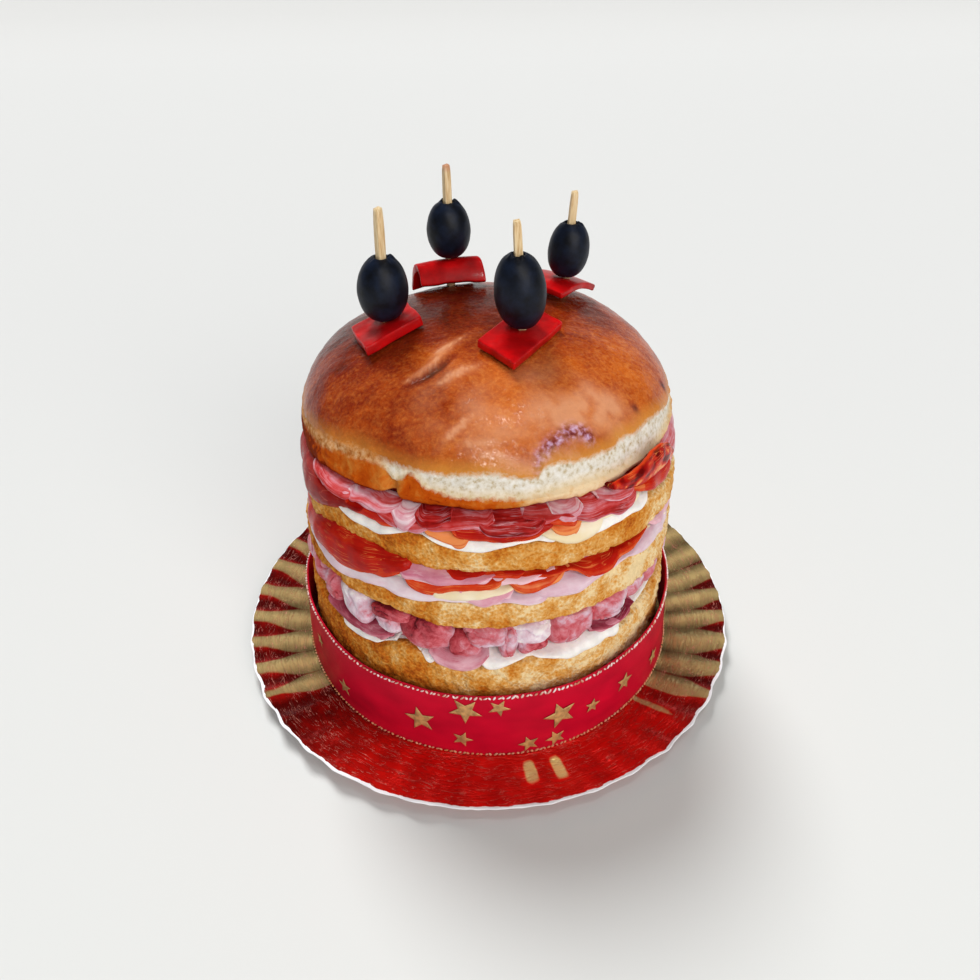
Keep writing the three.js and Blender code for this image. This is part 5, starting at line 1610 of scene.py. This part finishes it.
def build_pepper(sizes, pick):
    """A cut square of roast pepper that lies on the dome."""
    part = pick["pepper"]
    piece = begin("pepper_" + pick["name"] + "_flesh", "grid", x_subdivisions=22, y_subdivisions=22, size=2)
    flat = np.array([v.co for v in piece.data.vertices])
    seed = 900 + pick["turn"]
    s, t = flat[:, 0], flat[:, 1]
    wave = wander(flat, 0.9, seed, 2)
    s, t = s * (1 + 0.05 * wave), t * (1 - 0.05 * wave)
    handed = part["along"][0] * part["across"][1] - part["along"][1] * part["across"][0]
    if handed < 0:
        s = -s
    spot = under_pepper(pick, s, t)
    spot[:, 2] += part["thick"] + 0.15 * wander(spot, 7, seed + 1, 2)
    move_points(piece, spot)
    modified(piece, "SOLIDIFY", thickness=part["thick"] * MM, offset=-1.0)
    modified(piece, "BEVEL", width=0.5 * MM, segments=2, limit_method="ANGLE", angle_limit=math.radians(50))
    subdivided(piece, 1)
    return piece


# Stage


CAMERA_PLACE = Vector((0.0, -0.254, 0.2581))
CAMERA_PITCH = math.radians(37.1)
CAMERA_YAW = math.radians(0.34)
CAMERA_ROLL = math.radians(-0.80)


def build_stage():
    scene = bpy.context.scene
    forward = Vector(
        (
            math.sin(CAMERA_YAW) * math.cos(CAMERA_PITCH),
            math.cos(CAMERA_YAW) * math.cos(CAMERA_PITCH),
            -math.sin(CAMERA_PITCH),
        )
    )
    level = Vector((math.cos(CAMERA_YAW), -math.sin(CAMERA_YAW), 0))
    upright = level.cross(forward)
    right = math.cos(CAMERA_ROLL) * level + math.sin(CAMERA_ROLL) * upright
    up = -math.sin(CAMERA_ROLL) * level + math.cos(CAMERA_ROLL) * upright
    deselect()
    bpy.ops.object.camera_add(location=CAMERA_PLACE)
    camera = bpy.context.active_object
    camera.name = "camera"
    camera.data.sensor_width = 36
    camera.data.lens = 800 / 980 * 36
    camera.data.clip_start = 0.01
    turn = Matrix((right, up, -forward)).transposed()
    camera.matrix_world = Matrix.Translation(CAMERA_PLACE) @ turn.to_4x4()
    scene.camera = camera

    floor = begin("studio_floor", "grid", x_subdivisions=40, y_subdivisions=40, size=8)
    points = np.array([v.co for v in floor.data.vertices])
    points[:, 2] = 0.9 * smooth((points[:, 1] - 1.6) / 2.4) * 2
    floor.data.vertices.foreach_set("co", points.ravel())
    bpy.ops.object.shade_smooth()
    material, tree = new_material("matte_studio_paper")
    place = add(tree, "SeparateXYZ", {0: add(tree, "TexCoord").outputs["Object"]})
    depth = add(tree, "MapRange", {"Value": place.outputs["Y"], "From Min": -0.25, "From Max": 0.2}, clamp=True)
    tone = add(tree, "ValToRGB", {"Fac": depth}, stops=[(0.0, "#d2d4d2"), (1.0, "#d0d1d0")])
    surface = add(tree, "BsdfPrincipled", {"Base Color": tone, "Roughness": 0.9, "Specular IOR Level": 0.1})
    add(tree, "OutputMaterial", {"Surface": surface})
    floor.data.materials.append(material)

    suns = [  # where each shines from, its power, its angle in degrees, its colour and whether it shows in gloss
        ("sky_window", (-0.26, 0.66, 1.0), 2.8, 22, "#ffffff", False),
        ("front_window", (0.52, -1.0, 0.56), 1.78, 45, "#fffaf5", True),
        ("glaze_glint", (0.05, -0.66, 0.76), 0.45, 7, "#ffffff", True),
        ("roof_light", (0.16, -0.04, 1.0), 0.28, 6, "#ffffff", True),
    ]
    for name, place, power, spread, colour, glossy in suns:
        deselect()
        bpy.ops.object.light_add(type="SUN", location=place)
        lamp = bpy.context.active_object
        lamp.name = name
        lamp.visible_glossy = glossy
        lamp.data.energy = power
        lamp.data.angle = math.radians(spread)
        lamp.data.color = linear(colour)
        lamp.rotation_euler = (-Vector(place)).to_track_quat("-Z", "Y").to_euler()
    world = bpy.data.worlds.new("studio_air")
    world.use_nodes = True
    world.node_tree.nodes["Background"].inputs["Color"].default_value = paint("#eef1f5")
    world.node_tree.nodes["Background"].inputs["Strength"].default_value = 0.16
    scene.world = world
    scene.view_settings.view_transform = "Standard"


# The add-on


def length(name, description, default, most):
    return FloatProperty(
        name=name, description=description, default=default * MM, min=0.0, max=most * MM, precision=5, unit="LENGTH"
    )


def tint(name, description, code):
    return FloatVectorProperty(name=name, description=description, default=linear(code), size=3, min=0, max=1, subtype="COLOR")


class PanettoneSizes(bpy.types.PropertyGroup):
    """How deep the pieces' relief is."""

    crag: length("Bread crags", "How deep the broad crags of the slices' sides are", 0.55, 2)
    swell: length("Crown swells", "How far the glazed skin swells and sinks", 0.5, 2)
    pleat: length("Meat pleats", "How deep the hanging slices are pleated", 0.75, 2)
    flute: length("Plate flutes", "How far the plate's flutes rise and fall", 0.95, 2)


class PanettoneColours(bpy.types.PropertyGroup):
    """Colours of the pieces."""

    ribbon: tint("Ribbon", "Satin of the ribbon", "#c00a2a")
    stars: tint("Stars", "Ink of the stars", "#cda468")
    foil: tint("Foil", "Foil of the plate", "#a2120d")
    gilt: tint("Gilt", "Gold part of the foil", "#b09a66")
    olive: tint("Olives", "Skin of the olives", "#0b1220")
    pepper: tint("Peppers", "Flesh of the peppers", "#bc090d")
    spread: tint("Spread", "Fresh cheese in the fillings", "#f8f5f1")


class PANETTONE_OT_plate(bpy.types.Operator):
    """Add the fluted foil plate"""

    bl_idname = "panettone.plate"
    bl_label = "Plate"

    def execute(self, context):
        finished(build_plate(context.scene.panettone_sizes), foil_card(context.scene.panettone_colours), "foil_card", "plate")
        return {"FINISHED"}


class PANETTONE_OT_ribbon(bpy.types.Operator):
    """Add the satin ribbon with its stars and stitches"""

    bl_idname = "panettone.ribbon"
    bl_label = "Ribbon"

    def execute(self, context):
        sizes, colours = context.scene.panettone_sizes, context.scene.panettone_colours
        finished(build_ribbon(sizes), satin(colours), "satin_ribbon", "ribbon")
        finished(build_stars(sizes), gold_print(colours), "satin_ribbon")
        finished(build_overlock(sizes), overlock_thread(colours), "satin_ribbon")
        return {"FINISHED"}


class PANETTONE_OT_bread(bpy.types.Operator):
    """Add the base and the two slices of bread"""

    bl_idname = "panettone.bread"
    bl_label = "Bread"

    def execute(self, context):
        material = toasted_bread(context.scene.panettone_colours)
        for part in SLICES:
            finished(build_slice(context.scene.panettone_sizes, part), material, "toasted_slice", part["node"])
        return {"FINISHED"}


class PANETTONE_OT_dome(bpy.types.Operator):
    """Add the glazed dome"""

    bl_idname = "panettone.dome"
    bl_label = "Dome"

    def execute(self, context):
        finished(
            build_dome(context.scene.panettone_sizes),
            glazed_crust(context.scene.panettone_colours),
            "glazed_crust",
            "bread_dome",
        )
        return {"FINISHED"}


class PANETTONE_OT_fillings(bpy.types.Operator):
    """Add the sheets of ham, salami, cheese and spread"""

    bl_idname = "panettone.fillings"
    bl_label = "Fillings"

    def execute(self, context):
        sizes, colours = context.scene.panettone_sizes, context.scene.panettone_colours
        foods = {
            "spread": creamy("fresh_cheese_spread", [(0.35, toned(colours.spread, 0.86)), (0.6, toned(colours.spread, 1.0)), (0.8, toned(colours.spread, 1.1))], 0.45, 4, 0.6),
            "cheese": creamy("mild_sliced_cheese", [(0.35, "#ead8b0"), (0.6, "#f1e4c8"), (0.8, "#f7eedc")], 0.42, 8, 0.3),
            "ham": meat(
                "boiled_ham",
                [(0.1, "#7e2034"), (0.3, "#a8485a"), (0.5, "#c87484"), (0.75, "#deaab6")],
                "#ecd0d4",
                0.25,
                rim=("#e2a8b2", 0.9, 0.6),
            ),
            "pale_ham": meat(
                "pale_boiled_ham",
                [(0.1, "#b46c86"), (0.3, "#cf9eb2"), (0.5, "#dfc2ce"), (0.75, "#eee2e8")],
                "#f2eaec",
                0.2,
                contrast=0.6,
                rim=("#eedade", 1.0, 0.5),
            ),
            "pink_ham": meat(
                "folded_boiled_ham",
                [(0.1, "#a03850"), (0.3, "#bc6078"), (0.5, "#d490a2"), (0.75, "#e8c0ca")],
                "#eedce0",
                0.25,
                contrast=0.6,
                rim=("#eccad0", 0.8, 0.6),
            ),
            "rose_ham": meat(
                "cooked_ham_ruffles",
                [(0.15, "#560606"), (0.34, "#941210"), (0.5, "#b42a28"), (0.66, "#c85456"), (0.82, "#d28c98"), (1.0, "#e8ccd2")],
                "#e2b0bc",
                0.4,
                along=0.035,
                across=0.3,
                contrast=0.9,
                width=0.04,
                rim=("#cf8ca4", 0.8, 0.65),
            ),
            "salami": meat(
                "dry_salami",
                [(0.1, "#640604"), (0.3, "#960e0a"), (0.5, "#b81c10"), (0.72, "#cc3c16"), (0.95, "#e68c50")],
                "#e88448",
                0.8,
                gloss=0.25,
                along=0.025,
                across=0.2,
                width=0.016,
                contrast=0.65,
                rim=("#d0461a", 1.0, 0.6),
                wet=0.08,
            ),
            "cured_ham": meat(
                "air_dried_ham",
                [(0.1, "#420204"), (0.3, "#6c0405"), (0.5, "#920a06"), (0.75, "#b8300e")],
                "#c8604c",
                0.7,
                gloss=0.25,
                along=0.025,
                across=0.16,
                width=0.022,
                contrast=0.45,
                rim=("#8e2418", 0.9, 0.6),
                wet=0.0,
            ),
        }
        for index, sheet in enumerate(SHEETS):
            piece = build_sheet(sizes, sheet, index + 1)
            finished(piece, foods[sheet["food"]], sheet["slot"], sheet["node"])
        finished(build_flap(sizes), foods["salami"], "salami", "top_salami_flap")
        return {"FINISHED"}


class PANETTONE_OT_heap(bpy.types.Operator):
    """Add the heap of torn meat"""

    bl_idname = "panettone.heap"
    bl_label = "Meat heap"

    def execute(self, context):
        finished(
            build_heap(context.scene.panettone_sizes), heap_meat(context.scene.panettone_colours), "cooked_meat", "base_meat"
        )
        return {"FINISHED"}


class PANETTONE_OT_picks(bpy.types.Operator):
    """Add the sticks with their olives and peppers"""

    bl_idname = "panettone.picks"
    bl_label = "Picks"

    def execute(self, context):
        sizes, colours = context.scene.panettone_sizes, context.scene.panettone_colours
        wood, skin, flesh = stick_wood(colours), black_olive(colours), pepper_flesh(colours)
        for pick in PICKS:
            where = pick["name"]
            finished(build_stick(sizes, pick), wood, "stick_wood", "stick_" + where)
            finished(build_olive(sizes, pick), skin, "black_olive", "olive_" + where)
            finished(build_pepper(sizes, pick), flesh, "red_pepper", "pepper_" + where)
        return {"FINISHED"}


class PANETTONE_OT_stage(bpy.types.Operator):
    """Add the camera, the floor and the lights"""

    bl_idname = "panettone.stage"
    bl_label = "Stage"

    def execute(self, context):
        build_stage()
        return {"FINISHED"}


class PANETTONE_PT_panel(bpy.types.Panel):
    """Lists the steps that build the panettone"""

    bl_label = "Panettone"
    bl_idname = "PANETTONE_PT_panel"
    bl_space_type = "VIEW_3D"
    bl_region_type = "UI"
    bl_category = "Panettone"

    def draw(self, context):
        for name in STEPS:
            self.layout.operator("panettone." + name)
        for group in (context.scene.panettone_sizes, context.scene.panettone_colours):
            for name in group.__annotations__:
                self.layout.prop(group, name)


STEPS = ("stage", "plate", "ribbon", "bread", "dome", "fillings", "heap", "picks")
CLASSES = (
    PanettoneSizes,
    PanettoneColours,
    PANETTONE_OT_plate,
    PANETTONE_OT_ribbon,
    PANETTONE_OT_bread,
    PANETTONE_OT_dome,
    PANETTONE_OT_fillings,
    PANETTONE_OT_heap,
    PANETTONE_OT_picks,
    PANETTONE_OT_stage,
    PANETTONE_PT_panel,
)


def register():
    for kind in CLASSES:
        bpy.utils.register_class(kind)
    bpy.types.Scene.panettone_sizes = PointerProperty(type=PanettoneSizes)
    bpy.types.Scene.panettone_colours = PointerProperty(type=PanettoneColours)


def unregister():
    del bpy.types.Scene.panettone_colours
    del bpy.types.Scene.panettone_sizes
    for kind in reversed(CLASSES):
        bpy.utils.unregister_class(kind)


def main():
    register()
    for name in STEPS:
        getattr(bpy.ops.panettone, name)()


if __name__ == "__main__":
    main()
